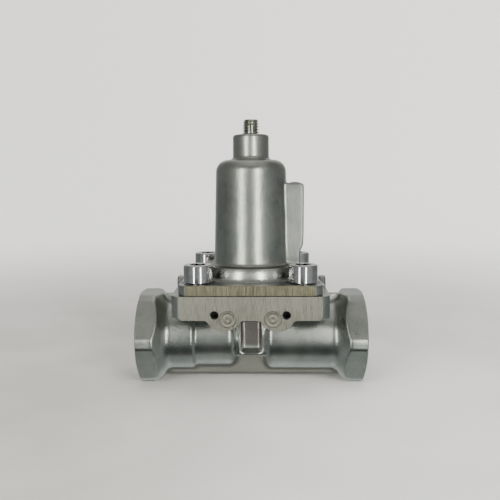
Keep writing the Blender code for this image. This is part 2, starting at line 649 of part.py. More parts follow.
# ---- cap ------------------------------------------------------------------------------------
def spring_cap(parts, tools):
    """The die-cast cap: square flange, base ring, tapered barrel, neck and side rib."""
    half_x = CAP_FLANGE_LENGTH / 2
    half_y = CAP_FLANGE_WIDTH / 2
    cap = box("spring_cap", (-half_x, -half_y, CAP_BOTTOM), (half_x, half_y, CAP_FLANGE_TOP), parts)
    round_edges(cap, CAP_FLANGE_CORNER, along=2, segments=6)

    ring_top = CAP_FLANGE_TOP + CAP_RING_HEIGHT
    outline = [(0.0, NECK_TOP), (NECK_RADIUS - NECK_CHAMFER, NECK_TOP)]
    outline += arc((NECK_RADIUS - NECK_CHAMFER, NECK_TOP - NECK_CHAMFER), NECK_CHAMFER, 60, 0, 2)
    outline += [(NECK_RADIUS, CAP_SHOULDER_Z + NECK_FILLET), (NECK_RADIUS + NECK_FILLET, CAP_SHOULDER_Z)]
    outline += arc((CAP_TOP_RADIUS - CAP_SHOULDER_ROUNDING, CAP_SHOULDER_Z - CAP_SHOULDER_ROUNDING),
                   CAP_SHOULDER_ROUNDING, 90, 0, 6)
    outline += arc((CAP_BASE_RADIUS + CAP_BASE_FILLET, ring_top + CAP_BASE_FILLET), CAP_BASE_FILLET,
                   180, 270, 4)
    outline += arc((CAP_RING_RADIUS - CAP_EDGE, ring_top - CAP_EDGE), CAP_EDGE, 90, 0, 2)
    outline += [
        (CAP_RING_RADIUS, CAP_FLANGE_TOP + CAP_STEP_HEIGHT + CAP_STEP_SLOPE),
        (CAP_STEP_RADIUS, CAP_FLANGE_TOP + CAP_STEP_HEIGHT - CAP_STEP_SLOPE),
        (CAP_STEP_RADIUS, CAP_FLANGE_TOP - CAP_FLANGE_THICKNESS / 2),
        (0.0, CAP_FLANGE_TOP - CAP_FLANGE_THICKNESS / 2),
    ]
    combine(cap, turned("barrel", outline, tools), "UNION")

    rib_top = CAP_SHOULDER_Z - RIB_TOP_BELOW_SHOULDER
    step_z = CAP_SHOULDER_Z - RIB_STEP_BELOW_SHOULDER
    rib_outline = [
        (SPRING_BORE_RADIUS - RIB_ROOT, CAP_FLANGE_TOP - CAP_FLANGE_THICKNESS / 2),
        (RIB_LOWER_REACH, CAP_FLANGE_TOP - CAP_FLANGE_THICKNESS / 2),
        (RIB_LOWER_REACH, step_z - RIB_STEP_LENGTH / 2),
        (RIB_REACH, step_z + RIB_STEP_LENGTH / 2),
    ]
    rib_outline += arc((RIB_REACH - RIB_ROUNDING, rib_top - RIB_ROUNDING), RIB_ROUNDING, 0, 90, 3)
    rib_outline.append((SPRING_BORE_RADIUS - RIB_ROOT, rib_top))
    combine(cap, plate("side_rib", rib_outline, RIB_THICKNESS / 2, tools), "UNION")

    combine(cap, turned("spring_room", [
        (0.0, NECK_TOP + OVERRUN),
        (ADJUSTER_RADIUS + GAP, NECK_TOP + OVERRUN),
        (ADJUSTER_RADIUS + GAP, SPRING_ROOM_TOP),
        (SPRING_BORE_RADIUS - CAP_ROOF_SLOPE, SPRING_ROOM_TOP),
        (SPRING_BORE_RADIUS, SPRING_ROOM_TOP - CAP_ROOF_SLOPE),
        (SPRING_BORE_RADIUS, PLATE_STOP_Z),
        (PLATE_RADIUS + CAP_PLATE_CLEARANCE, PLATE_STOP_Z),
        (PLATE_RADIUS + CAP_PLATE_CLEARANCE, CAP_BOTTOM - OVERRUN),
        (0.0, CAP_BOTTOM - OVERRUN),
    ], tools, half_step=True), "DIFFERENCE")
    for place, (x, y) in SCREW_PLACES.items():
        combine(cap, cylinder("clearance_hole_" + place, SCREW_RADIUS + GAP, CAP_BOTTOM - OVERRUN,
                              CAP_FLANGE_TOP + OVERRUN, 2, (x, y, 0), tools), "DIFFERENCE")
    return cap


# ---- screws and plugs -----------------------------------------------------------------------
def socket(name, flats, top, depth, place, tools):
    """A hexagon socket, open at the top."""
    corner = flats / 2 / math.cos(math.radians(30))
    return cylinder(name, corner, top - depth, top + OVERRUN, 2, (*place, 0), tools, steps=6)


def cap_screw(place, parts, tools):
    """An M6 socket head cap screw that clamps the cap to the body."""
    x, y = SCREW_PLACES[place]
    edge = SCREW_EDGE
    top = SCREW_SEAT_Z + SCREW_HEAD_HEIGHT
    screw = turned("cap_screw_" + place, [
        (0.0, top),
        (SCREW_HEAD_RADIUS - edge, top),
        (SCREW_HEAD_RADIUS, top - edge),
        (SCREW_HEAD_RADIUS, SCREW_SEAT_Z),
        (SCREW_RADIUS, SCREW_SEAT_Z),
        (SCREW_RADIUS, SCREW_SEAT_Z - SCREW_LENGTH + edge),
        (SCREW_RADIUS - edge, SCREW_SEAT_Z - SCREW_LENGTH),
        (0.0, SCREW_SEAT_Z - SCREW_LENGTH),
    ], parts, SMALL_STEPS)
    screw.location = (x, y, 0.0)
    combine(screw, socket("socket_" + place, SCREW_SOCKET_FLATS, top, SCREW_SOCKET_DEPTH, (x, y), tools),
            "DIFFERENCE")
    return screw


def passage_plug(name, side, parts):
    """A plug with a slightly domed face, pressed into the mouth of a drilled passage."""
    radius = PLUG_HOLE_RADIUS - GAP
    plug = turned("passage_plug_" + name, [
        (0.0, PLUG_DOME),
        (radius / 2, PLUG_DOME * 3 / 4),
        (radius - PLUG_EDGE, 0.0),
        (radius, -PLUG_EDGE),
        (radius, -PLUG_LENGTH),
        (0.0, -PLUG_LENGTH),
    ], parts, SMALL_STEPS)
    plug.rotation_euler = (math.radians(90), 0.0, 0.0)
    plug.location = (side * PLUG_SPREAD / 2, FRONT_Y + PLUG_DOME, FLANGE_TOP - PLUG_DROP)
    return plug


# ---- seat and diaphragm ---------------------------------------------------------------------
def seat_ring(parts):
    """The seat pressed into the body, with a groove round its sleeve for the O-ring."""
    groove_top = SEAT_FLANGE_Z - SEAT_GROOVE_DROP
    groove_low = groove_top - O_RING_SECTION - 2 * GAP
    groove = SEAT_SLEEVE_RADIUS - SEAT_GROOVE_DEPTH
    flange_top = SEAT_FLANGE_Z + SEAT_FLANGE_THICKNESS
    lip = PASSAGE_RADIUS + SEAT_LIP_WIDTH
    return turned("seat_ring", [
        (PASSAGE_RADIUS, SEAT_LIP_Z),
        (lip - SEAT_LIP_SLOPE, SEAT_LIP_Z),
        (lip, flange_top),
        (SEAT_FLANGE_RADIUS, flange_top),
        (SEAT_FLANGE_RADIUS, SEAT_FLANGE_Z),
        (SEAT_SLEEVE_RADIUS, SEAT_FLANGE_Z),
        (SEAT_SLEEVE_RADIUS, groove_top),
        (groove, groove_top),
        (groove, groove_low),
        (SEAT_SLEEVE_RADIUS, groove_low),
        (SEAT_SLEEVE_RADIUS, SEAT_SLEEVE_Z),
        (PASSAGE_RADIUS, SEAT_SLEEVE_Z),
    ], parts, SMALL_STEPS, closed=True)


def seat_o_ring(parts):
    """The O-ring in the groove of the seat, squeezed to an oval between seat and body."""
    inner = SEAT_SLEEVE_RADIUS - SEAT_GROOVE_DEPTH + GAP / 2
    outer = SEAT_SLEEVE_RADIUS + GAP / 2
    half_width = (outer - inner) / 2
    centre = (inner + outer) / 2
    middle = SEAT_FLANGE_Z - SEAT_GROOVE_DROP - GAP - O_RING_SECTION / 2
    section = []
    for angle in range(-90, 270, 36):
        turn = math.radians(angle)
        section.append((centre + half_width * math.cos(turn), middle - O_RING_SECTION / 2 * math.sin(turn)))
    return turned("seat_o_ring", section, parts, SMALL_STEPS, closed=True)


def diaphragm(parts):
    """Fabric-reinforced rubber dish: a centre disc that seals on the seat, a sloping wall and a rim."""
    wall = DIAPHRAGM_THICKNESS
    disc = PLATE_RADIUS + DISC_PAST_PLATE
    return turned("diaphragm", [
        (RIVET_RADIUS + GAP, DISC_TOP),
        (disc, DISC_TOP),
        (disc + DISC_BEND, DISC_TOP + DISC_BEND_RISE),
        (DIAPHRAGM_RIM_INNER - DISC_BEND, RIM_TOP - DISC_BEND_RISE),
        (DIAPHRAGM_RIM_INNER, RIM_TOP),
        (DIAPHRAGM_RADIUS, RIM_TOP),
        (DIAPHRAGM_RADIUS, RIM_Z),
        (DIAPHRAGM_RIM_INNER + 0.4 * wall, RIM_Z),
        (DIAPHRAGM_RIM_INNER + 0.1 * wall, RIM_Z - DISC_BEND_RISE),
        (disc + 0.9 * wall, DISC_Z + DISC_BEND_RISE),
        (disc + 0.5 * wall, DISC_Z),
        (RIVET_RADIUS + GAP, DISC_Z),
    ], parts, STEPS, closed=True)


def diaphragm_plate(parts):
    """The dry-side plate: carries the spring, centres it and stops against the step in the cap."""
    return turned("diaphragm_plate", [
        (RIVET_RADIUS + GAP, PLATE_SHOULDER_TOP + PLATE_BOSS_HEIGHT),
        (SPRING_GUIDE_RADIUS - PLATE_BOSS_EDGE, PLATE_SHOULDER_TOP + PLATE_BOSS_HEIGHT),
        (SPRING_GUIDE_RADIUS, PLATE_SHOULDER_TOP + PLATE_BOSS_HEIGHT - PLATE_BOSS_EDGE),
        (SPRING_GUIDE_RADIUS, PLATE_SHOULDER_TOP),
        (PLATE_SHOULDER_RADIUS, PLATE_SHOULDER_TOP),
        (PLATE_SHOULDER_RADIUS, PLATE_Z + PLATE_THICKNESS),
        (PLATE_RADIUS, PLATE_Z + PLATE_THICKNESS),
        (PLATE_RADIUS, PLATE_Z),
        (RIVET_RADIUS + GAP, PLATE_Z),
    ], parts, STEPS, closed=True)


def diaphragm_rivet(parts):
    """Holds the diaphragm to its plate: a flat head in the seat bore and a closed head on the boss."""
    top = PLATE_SHOULDER_TOP + PLATE_BOSS_HEIGHT + GAP
    return turned("diaphragm_rivet", [
        (0.0, top + RIVET_CLOSED_HEIGHT),
        (RIVET_HEAD_RADIUS * 0.6, top + RIVET_CLOSED_HEIGHT * 0.8),
        (RIVET_HEAD_RADIUS * 0.85, top),
        (RIVET_RADIUS, top),
        (RIVET_RADIUS, DISC_Z - GAP),
        (RIVET_HEAD_RADIUS, DISC_Z - GAP),
        (RIVET_HEAD_RADIUS, DISC_Z - GAP - RIVET_HEAD_HEIGHT * 0.6),
        (RIVET_HEAD_RADIUS * 0.7, DISC_Z - GAP - RIVET_HEAD_HEIGHT),
        (0.0, DISC_Z - GAP - RIVET_HEAD_HEIGHT),
    ], parts, SMALL_STEPS)


# ---- spring pack and adjuster ---------------------------------------------------------------
def main_spring(parts):
    """The compression spring between the diaphragm plate and the upper seat."""
    low = PLATE_SHOULDER_TOP + GAP
    high = UPPER_SEAT_Z - GAP
    spring = coil("main_spring", SPRING_MEAN, SPRING_WIRE, SPRING_TURNS, high - low, parts)
    spring.location = (0.0, 0.0, low)
    return spring


def upper_spring_seat(parts):
    """The movable seat that the adjusting screw pushes on, with a dimple for the screw's foot."""
    boss_top = UPPER_SEAT_TOP + UPPER_SEAT_BOSS_HEIGHT
    return turned("upper_spring_seat", [
        (0.0, boss_top),
        (UPPER_SEAT_BOSS_RADIUS - UPPER_SEAT_SLOPE, boss_top),
        (UPPER_SEAT_BOSS_RADIUS, UPPER_SEAT_TOP),
        (SPRING_OUTER + UPPER_SEAT_MARGIN, UPPER_SEAT_TOP),
        (SPRING_OUTER + UPPER_SEAT_MARGIN, UPPER_SEAT_Z),
        (SPRING_GUIDE_RADIUS, UPPER_SEAT_Z),
        (SPRING_GUIDE_RADIUS - SPIGOT_SLOPE, UPPER_SEAT_Z - UPPER_SEAT_SPIGOT),
        (0.0, UPPER_SEAT_Z - UPPER_SEAT_SPIGOT),
    ], parts, STEPS)


def adjusting_screw(parts, tools):
    """The M6 screw through the neck that sets the opening pressure."""
    screw = turned("adjusting_screw", [
        (0.0, ADJUSTER_TIP),
        (ADJUSTER_RADIUS - ADJUSTER_CHAMFER, ADJUSTER_TIP),
        (ADJUSTER_RADIUS, ADJUSTER_TIP - ADJUSTER_CHAMFER),
        (ADJUSTER_RADIUS, ADJUSTER_FOOT + ADJUSTER_CHAMFER),
        (ADJUSTER_RADIUS - ADJUSTER_CHAMFER, ADJUSTER_FOOT),
        (0.0, ADJUSTER_FOOT),
    ], parts, SMALL_STEPS)
    combine(screw, socket("adjuster_socket", ADJUSTER_SOCKET_FLATS, ADJUSTER_TIP, ADJUSTER_SOCKET_DEPTH,
                          (0, 0), tools), "DIFFERENCE")
    return screw


# ---- check valve ----------------------------------------------------------------------------
def check_seal(parts):
    """The rubber washer on the front of the check disc."""
    return lay_on_pipe_axis(turned("check_seal", [
        (CHECK_NOSE_RADIUS + GAP, CHECK_DISC_X - GAP),
        (CHECK_SEAL_RADIUS, CHECK_DISC_X - GAP),
        (CHECK_SEAL_RADIUS, OUTLET_SEAT_X + GAP),
        (CHECK_NOSE_RADIUS + GAP, OUTLET_SEAT_X + GAP),
    ], parts, SMALL_STEPS, closed=True))


def check_disc(parts):
    """The check valve's disc, with a nose through its seal and a stem guided by the retainer."""
    hub_x = CHECK_DISC_X + CHECK_DISC_THICKNESS
    stem_x = RETAINER_X + RETAINER_THICKNESS + CHECK_STEM_PAST_RETAINER
    return lay_on_pipe_axis(turned("check_disc", [
        (0.0, stem_x),
        (CHECK_STEM_RADIUS - CHECK_STEM_EDGE, stem_x),
        (CHECK_STEM_RADIUS, stem_x - CHECK_STEM_EDGE),
        (CHECK_STEM_RADIUS, hub_x + CHECK_HUB_LENGTH),
        (CHECK_HUB_RADIUS, hub_x + CHECK_HUB_LENGTH),
        (CHECK_HUB_RADIUS, hub_x),
        (CHECK_SEAL_RADIUS + GAP, hub_x),
        (CHECK_SEAL_RADIUS + GAP, CHECK_DISC_X),
        (CHECK_NOSE_RADIUS, CHECK_DISC_X),
        (CHECK_NOSE_RADIUS, OUTLET_SEAT_X + GAP),
        (0.0, OUTLET_SEAT_X + GAP),
    ], parts, SMALL_STEPS))


def check_spring(parts):
    """The light spring that closes the check valve."""
    mean = CHECK_HUB_RADIUS + GAP + CHECK_SPRING_WIRE / 2 + CHECK_SPRING_CLEARANCE
    spring = coil("check_spring", mean, CHECK_SPRING_WIRE, CHECK_SPRING_TURNS, CHECK_SPRING_LENGTH, parts)
    lay_on_pipe_axis(spring)
    spring.location.x = CHECK_SPRING_X
    return spring


def check_retainer(parts, tools):
    """The disc with flow holes that guides the check stem and carries the light spring."""
    retainer = lay_on_pipe_axis(turned("check_retainer", [
        (CHECK_STEM_RADIUS + GAP, RETAINER_X + RETAINER_THICKNESS),
        (RETAINER_RADIUS, RETAINER_X + RETAINER_THICKNESS),
        (RETAINER_RADIUS, RETAINER_X),
        (CHECK_STEM_RADIUS + GAP, RETAINER_X),
    ], parts, STEPS, closed=True))
    circle = RETAINER_RADIUS - RETAINER_HOLE_RADIUS - RETAINER_HOLE_EDGE
    for index in range(RETAINER_HOLES):
        angle = 2 * math.pi * index / RETAINER_HOLES
        hole = cylinder(f"flow_hole_{index}", RETAINER_HOLE_RADIUS, RETAINER_X - OVERRUN,
                        RETAINER_X + RETAINER_THICKNESS + OVERRUN, 0,
                        (0, circle * math.cos(angle), AXIS_Z + circle * math.sin(angle)), tools, HOLE_STEPS)
        combine(retainer, hole, "DIFFERENCE")
    return retainer


def retaining_ring(parts, tools):
    """The snap ring in the outlet's groove, open at the bottom."""
    ring = lay_on_pipe_axis(turned("retaining_ring", [
        (RING_OUTER - RING_WIDTH, RING_X + RING_THICKNESS),
        (RING_OUTER, RING_X + RING_THICKNESS),
        (RING_OUTER, RING_X),
        (RING_OUTER - RING_WIDTH, RING_X),
    ], parts, STEPS, closed=True))
    opening = box("ring_opening", (RING_X - OVERRUN, -RING_OPENING / 2, AXIS_Z - RING_OUTER - OVERRUN),
                  (RING_X + RING_THICKNESS + OVERRUN, RING_OPENING / 2, AXIS_Z), tools)
    combine(ring, opening, "DIFFERENCE")
    return ring


# ---- assembly -------------------------------------------------------------------------------
def build():
    """Makes every piece, with its material and its place in the assembly."""
    clear_scene()
    parts = new_collection("diaphragm_valve")
    tools = new_collection("cutters")
    tools.hide_render = True

    cast = material("cast_alloy", (0.50, 0.50, 0.48), 0.38, 0.9)
    zinc = material("bright_zinc", (0.72, 0.71, 0.70), 0.18, 1.0)
    yellow_zinc = material("yellow_zinc", (0.55, 0.53, 0.38), 0.3, 1.0)
    steel = material("spring_steel", (0.32, 0.32, 0.34), 0.35, 1.0)
    brass = material("brass", (0.72, 0.56, 0.27), 0.3, 1.0)
    rubber = material("black_rubber", (0.02, 0.02, 0.02), 0.7, 0.0)
    nylon = material("check_nylon", (0.75, 0.73, 0.66), 0.45, 0.0)

    lift_group = group_at("lift_group", (0.0, 0.0, PLATE_Z), parts)
    seat_group = group_at("seat_group", (0.0, 0.0, UPPER_SEAT_Z), parts)
    adjuster_group = group_at("adjuster_group", (0.0, 0.0, ADJUSTER_FOOT), parts)
    check_group = group_at("check_group", (CHECK_DISC_X, 0.0, AXIS_Z), parts)
    hang(adjuster_group, seat_group)

    finish(valve_body(parts, tools), cast)
    finish(spring_cap(parts, tools), cast)
    for place in SCREW_PLACES:
        finish(cap_screw(place, parts, tools), zinc)
    finish(passage_plug("left", -1, parts), zinc)
    finish(passage_plug("right", 1, parts), zinc)
    finish(seat_ring(parts), brass)
    finish(seat_o_ring(parts), rubber)
    finish(diaphragm(parts), rubber)
    finish(main_spring(parts), steel)
    finish(check_spring(parts), steel)
    finish(check_retainer(parts, tools), zinc)
    finish(retaining_ring(parts, tools), steel)

    hang(finish(diaphragm_plate(parts), zinc), lift_group)
    hang(finish(diaphragm_rivet(parts), zinc), lift_group)
    hang(finish(upper_spring_seat(parts), zinc), seat_group)
    hang(finish(adjusting_screw(parts, tools), yellow_zinc), adjuster_group)
    hang(finish(check_disc(parts), nylon), check_group)
    hang(finish(check_seal(parts), rubber), check_group)


build()
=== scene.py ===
"""In-line diaphragm overflow valve with a spring cap: the looks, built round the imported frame."""
import math

import bmesh
import bpy
from mathutils import Matrix, Vector
from mathutils.bvhtree import BVHTree


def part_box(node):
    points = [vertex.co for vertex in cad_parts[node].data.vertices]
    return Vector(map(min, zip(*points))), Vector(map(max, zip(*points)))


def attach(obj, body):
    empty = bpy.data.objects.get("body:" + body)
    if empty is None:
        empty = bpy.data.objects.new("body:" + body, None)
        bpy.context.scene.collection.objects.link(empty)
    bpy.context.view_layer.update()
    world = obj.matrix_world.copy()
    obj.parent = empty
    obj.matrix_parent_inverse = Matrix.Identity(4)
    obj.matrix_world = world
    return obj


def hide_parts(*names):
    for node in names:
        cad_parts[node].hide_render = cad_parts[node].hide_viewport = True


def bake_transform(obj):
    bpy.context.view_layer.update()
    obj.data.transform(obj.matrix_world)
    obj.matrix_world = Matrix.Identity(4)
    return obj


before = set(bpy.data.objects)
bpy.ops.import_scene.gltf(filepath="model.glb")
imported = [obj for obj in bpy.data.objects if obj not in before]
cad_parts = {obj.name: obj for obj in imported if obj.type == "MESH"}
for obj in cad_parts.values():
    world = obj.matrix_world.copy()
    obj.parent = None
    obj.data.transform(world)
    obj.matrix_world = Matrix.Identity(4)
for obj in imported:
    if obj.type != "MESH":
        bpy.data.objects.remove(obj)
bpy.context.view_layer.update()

mm = 0.001


# ---- Camera ----------------------------------------------
# A short telephoto view from just above the height of the cap, square on to the plugged side.
# It turns a little to the left and tips down towards the pipes.
lens = bpy.data.cameras.new("camera")
lens.lens = 41.63
lens.sensor_width = 36.0
lens.clip_start = 0.005
camera = bpy.data.objects.new("camera", lens)
bpy.context.scene.collection.objects.link(camera)
camera_place = Vector((3.587, -214.346, 71.642)) * mm
camera_turn = (Matrix.Rotation(math.radians(1.089), 4, "Z")
               @ Matrix.Rotation(math.radians(90 - 6.380), 4, "X")
               @ Matrix.Rotation(math.radians(-0.2365), 4, "Z"))
camera.matrix_world = Matrix.Translation(camera_place) @ camera_turn
bpy.context.scene.camera = camera


# ---- Studio ----------------------------------------------
# A round sweep of pale card: a flat floor that curves up into a wall on every side, so that
# the valve stands in the same plain surroundings from wherever it is looked at.
class Value:
    """A number that changes over a surface. Each operation on it adds a Math node."""

    def __init__(self, finish, socket):
        self.finish = finish
        self.socket = socket

    def math(self, operation, *others):
        return self.finish.node("ShaderNodeMath", {"operation": operation}, [self, *others])

    def __add__(self, other):
        return self.math("ADD", other)

    def __sub__(self, other):
        return self.math("SUBTRACT", other)

    def __mul__(self, other):
        return self.math("MULTIPLY", other)

    def __rsub__(self, other):
        return self.finish.node("ShaderNodeMath", {"operation": "SUBTRACT"}, [other, self])

    __radd__ = __add__
    __rmul__ = __mul__

    def between(self, low, high):
        """0 below low, 1 above high and a smooth rise from one to the other."""
        if low > high:
            return 1 - self.between(high, low)
        return self.finish.node("ShaderNodeMapRange", {"interpolation_type": "SMOOTHSTEP"},
                                {0: self, 1: low, 2: high, 3: 0.0, 4: 1.0})


class Finish:
    """A material with a Principled shader and one way to add nodes."""

    def __init__(self, name, colour, roughness, metallic=0.0, **extra):
        self.material = bpy.data.materials.new(name)
        self.material.use_nodes = True
        self.tree = self.material.node_tree
        self.shader = self.tree.nodes["Principled BSDF"]
        self.set(Base_Color=(*colour, 1.0), Roughness=roughness, Metallic=metallic, **extra)
        self.place = self.node("ShaderNodeTexCoord", output="Object")

    def node(self, kind, settings=None, inputs=(), output=0):
        made = self.tree.nodes.new(kind)
        for key, value in (settings or {}).items():
            setattr(made, key, value)
        pairs = inputs.items() if isinstance(inputs, dict) else enumerate(inputs)
        for key, value in pairs:
            self.feed(made.inputs[key], value)
        return Value(self, made.outputs[output])

    def feed(self, socket, value):
        if isinstance(value, Value):
            self.tree.links.new(value.socket, socket)
        else:
            socket.default_value = value

    def set(self, **inputs):
        for key, value in inputs.items():
            self.feed(self.shader.inputs[key.replace("_", " ")], value)

    def stretched(self, scale, offset=(0.0, 0.0, 0.0)):
        """Object coordinates scaled along each axis, to draw a pattern out."""
        return self.node("ShaderNodeMapping", {}, {"Vector": self.place, "Scale": scale, "Location": offset})

    def noise(self, size, place=None, detail=3.0, roughness=0.55):
        """Soft noise from about 0.2 to 0.8, with features of this size in metres."""
        return self.node("ShaderNodeTexNoise", {}, {"Vector": place or self.place, "Scale": 1 / size,
                                                    "Detail": detail, "Roughness": roughness})

    def axis(self, index, place=None):
        return self.node("ShaderNodeSeparateXYZ", {}, [place or self.place], output=index)

    def mix(self, amount, first, second):
        """A colour between two colours."""
        first, second = ((*end, 1.0) if isinstance(end, tuple) else end for end in (first, second))
        return self.node("ShaderNodeMix", {"data_type": "RGBA"}, {0: amount, 6: first, 7: second}, output=2)

    def bump(self, height, depth):
        """A bumped normal: depth is the height in metres that a value of 1 stands for."""
        return self.node("ShaderNodeBump", {}, {"Height": height, "Distance": depth, "Strength": 1.0})


def spun(profile, steps, closed=False):
    """A bmesh of (radius, height) points spun round Z, closed and facing out."""
    shape = bmesh.new()
    verts = [shape.verts.new((radius, 0.0, height)) for radius, height in profile]
    edges = [shape.edges.new(pair) for pair in zip(verts, verts[1:])]
    if closed:
        edges.append(shape.edges.new((verts[-1], verts[0])))
    bmesh.ops.spin(shape, geom=verts + edges, cent=(0, 0, 0), axis=(0, 0, 1), dvec=(0, 0, 0),
                   angle=2 * math.pi, steps=steps, use_merge=True)
    bmesh.ops.remove_doubles(shape, verts=shape.verts, dist=1e-7)
    bmesh.ops.recalc_face_normals(shape, faces=shape.faces)
    return shape


def arc(centre, radius, start, end, count):
    """Points round part of a circle: angles in degrees, from the radius axis towards the height axis."""
    angles = [math.radians(start + (end - start) * step / count) for step in range(count + 1)]
    return [(centre[0] + radius * math.cos(angle), centre[1] + radius * math.sin(angle)) for angle in angles]


def object_from(shape, name, sharp=35.0):
    """Turns a bmesh into a smooth-shaded object at the origin."""
    mesh = bpy.data.meshes.new(name)
    shape.to_mesh(mesh)
    shape.free()
    mesh.shade_smooth()
    mesh.set_sharp_from_angle(angle=math.radians(sharp))
    obj = bpy.data.objects.new(name, mesh)
    bpy.context.scene.collection.objects.link(obj)
    return obj


sweep_floor = 0.42
sweep_curve = 0.40
sweep_wall = 0.95
sweep = object_from(spun([(0.0, 0.0), (sweep_floor, 0.0),
                          *arc((sweep_floor, sweep_curve), sweep_curve, -90, 0, 24),
                          (sweep_floor + sweep_curve, sweep_wall)], 96), "sweep")
paper = Finish("paper", (0.78, 0.775, 0.76), 0.9)
sheet = paper.mix(paper.axis(0).between(-0.4, 0.4), (0.84, 0.83, 0.82), (0.96, 0.94, 0.93))
distance = paper.node("ShaderNodeVectorMath", {"operation": "LENGTH"}, [paper.place], output=1)
# Painted shadow: round the valve the paper is painted darker, most to the left and behind it, with uneven patches.
floor_painted_shadow = paper.mix(paper.axis(0).between(0.05, -0.07), (0.42, 0.415, 0.40), (0.25, 0.245, 0.225))
floor_painted_shadow = paper.mix(paper.axis(1).between(-0.02, 0.06) * 0.4, floor_painted_shadow, (0.27, 0.265, 0.25))
patches = paper.noise(0.05, detail=2.0).between(0.35, 0.65) * 0.06
paper.set(Base_Color=paper.mix(distance.between(0.55, 0.10) * (0.94 - patches), sheet, floor_painted_shadow))
sweep.data.materials.append(paper.material)
sweep.visible_glossy = False

# The tent is what bright metal mirrors: pale cloth with dark gaps at the sides, behind the two
# tubes and near the floor, and a paler back, top and bottom. It only shows in reflections.
tent_shape = bmesh.new()
tent_radius = 0.8
bmesh.ops.create_uvsphere(tent_shape, u_segments=64, v_segments=32, radius=tent_radius)
tent = object_from(tent_shape, "tent")
cloth = Finish("tent_cloth", (0, 0, 0), 1.0)
around = cloth.node("ShaderNodeVectorMath", {"operation": "NORMALIZE"}, [cloth.place])
east, south, up = (cloth.axis(index, around) for index in range(3))
turn = cloth.node("ShaderNodeMath", {"operation": "ARCTAN2"}, [east, south * -1]) * (180 / math.pi)
side = turn.math("ABSOLUTE")
height = up.math("ARCSINE") * (180 / math.pi)

cloth_glow = 0.31
between_tubes = turn.between(-25, -18) * turn.between(7, 0)
side_gap = side.between(62, 85) * side.between(150, 132) * height.between(-30, -12)
low_sides = side.between(30, 45) * side.between(125, 100) * height.between(-4, -9) * height.between(-40, -25)
glow = cloth_glow + side.between(70, 20) * height.between(-26, -4) * height.between(78, 20) * 0.14
glow = glow * (1 - side_gap * 0.38)
glow = glow * (1 - turn.between(-105, -75) * turn.between(-20, -42) * 0.2)
glow = glow * (1 - between_tubes * height.between(-15, -10) * height.between(14, 4) * 0.35)
glow = glow * (1 - between_tubes * height.between(-15, -11) * height.between(-3, -6) * 0.5)
glow = glow * (1 - height.between(-16, -34) * height.between(-68, -55) * side.between(75, 45) * 0.84)
glow = glow * (1 - height.between(20, 34) * height.between(53, 44) * side.between(32, 14) * 0.74)
glow = glow + low_sides * 0.06
glow = glow + side.between(138, 165) * 0.35 + height.between(50, 75) * 0.26 + height.between(-55, -72) * 0.13
tint = cloth.mix(height.between(-5, 25), (0.93, 1.0, 0.97), (1.0, 1.0, 0.965))
tent_light = cloth.node("ShaderNodeEmission", {}, {"Color": tint, "Strength": glow})
cloth.tree.links.new(tent_light.socket, cloth.tree.nodes["Material Output"].inputs["Surface"])
cloth.material.cycles.emission_sampling = "NONE"
tent.data.materials.append(cloth.material)
for ray in ("camera", "diffuse", "shadow", "transmission", "volume_scatter"):
    setattr(tent, "visible_" + ray, False)

world = bpy.data.worlds.new("world")
bpy.context.scene.world = world
world.use_nodes = True
sky = world.node_tree.nodes["Background"].inputs
sky["Color"].default_value = (0.97, 0.98, 1.0, 1.0)
sky["Strength"].default_value = 0.50


valve_middle = 0.04


def lamp(name, place, width, height, power, colour=(1.0, 1.0, 0.985)):
    """A rectangular light that points at the middle of the valve, its height upright."""
    pocket_painted_shade = bpy.data.lights.new(name, "AREA")
    pocket_painted_shade.shape = "RECTANGLE"
    pocket_painted_shade.size = width
    pocket_painted_shade.size_y = height
    pocket_painted_shade.energy = power
    pocket_painted_shade.color = colour
    holder = bpy.data.objects.new(name, pocket_painted_shade)
    bpy.context.scene.collection.objects.link(holder)
    aim = Vector((0, 0, valve_middle)) - Vector(place)
    holder.matrix_world = Matrix.Translation(place) @ aim.to_track_quat("-Z", "Y").to_matrix().to_4x4()
    return holder


# Two tall tubes near the camera draw the bright lines down the barrel and across the pipes.
tube_distance = 0.43
tube_z = 0.085
tube_length = 0.35
for name, angle, width, power in (("left_tube", -28.5, 0.066, 0.57), ("right_tube", 21.8, 0.052, 0.64)):
    turn_to = math.radians(angle)
    place = (tube_distance * math.sin(turn_to), -tube_distance * math.cos(turn_to), tube_z)
    lamp(name, place, width, tube_length, power, (1.0, 1.0, 0.93))
for name, place, size, power in (("key_light", (0.34, -0.46, 0.36), 0.30, 5.6),
                                 ("fill_light", (-0.36, -0.42, 0.42), 0.30, 3.4),
                                 ("roof_light", (0.0, 0.05, 0.80), 0.60, 5.0)):
    lamp(name, place, size, size, power).visible_glossy = False


# ---- Valve body ------------------------------------------
# One pressure die casting in light alloy: two hexagon ends on a stepped pipe, a web between them,
# a waist with a pocket and a thick rectangular flange. Its joint face and ports are machined.
body_low, body_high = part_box("valve_body")
cap_low, cap_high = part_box("spring_cap")
valve_disc_low, valve_disc_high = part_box("check_disc")
gap = 0.3 * mm
over = 1.0 * mm
port_x = body_high.x
half_width = body_high.y
axis_z = (valve_disc_low.z + valve_disc_high.z) / 2
joint_z = cap_low.z - gap
hex_flat = axis_z - body_low.z
hex_corner = hex_flat / math.cos(math.radians(30))
hex_inner_x = port_x - 7.9 * mm
pipe_radius = 12.8 * mm
slim_radius = 11.75 * mm
flange_half = 27.0 * mm
flange_z = joint_z - 8.3 * mm
boss_x = 9.0 * mm
boss_radius = 6.3 * mm
boss_z = joint_z - 5.7 * mm
lug_x = 25.2 * mm
lug_width = 5.4 * mm
ground_off = 0.45 * mm
web_half = 4.6 * mm
vent_x = 12.1 * mm
vent_z = joint_z - 6.3 * mm
screw_hole = 3.3 * mm


def stand_in(obj, finish, body, node):
    """Gives a piece its material and its body, and puts it in the place of a node."""
    obj.data.materials.clear()
    obj.data.materials.append(finish.material)
    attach(obj, body)
    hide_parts(node)


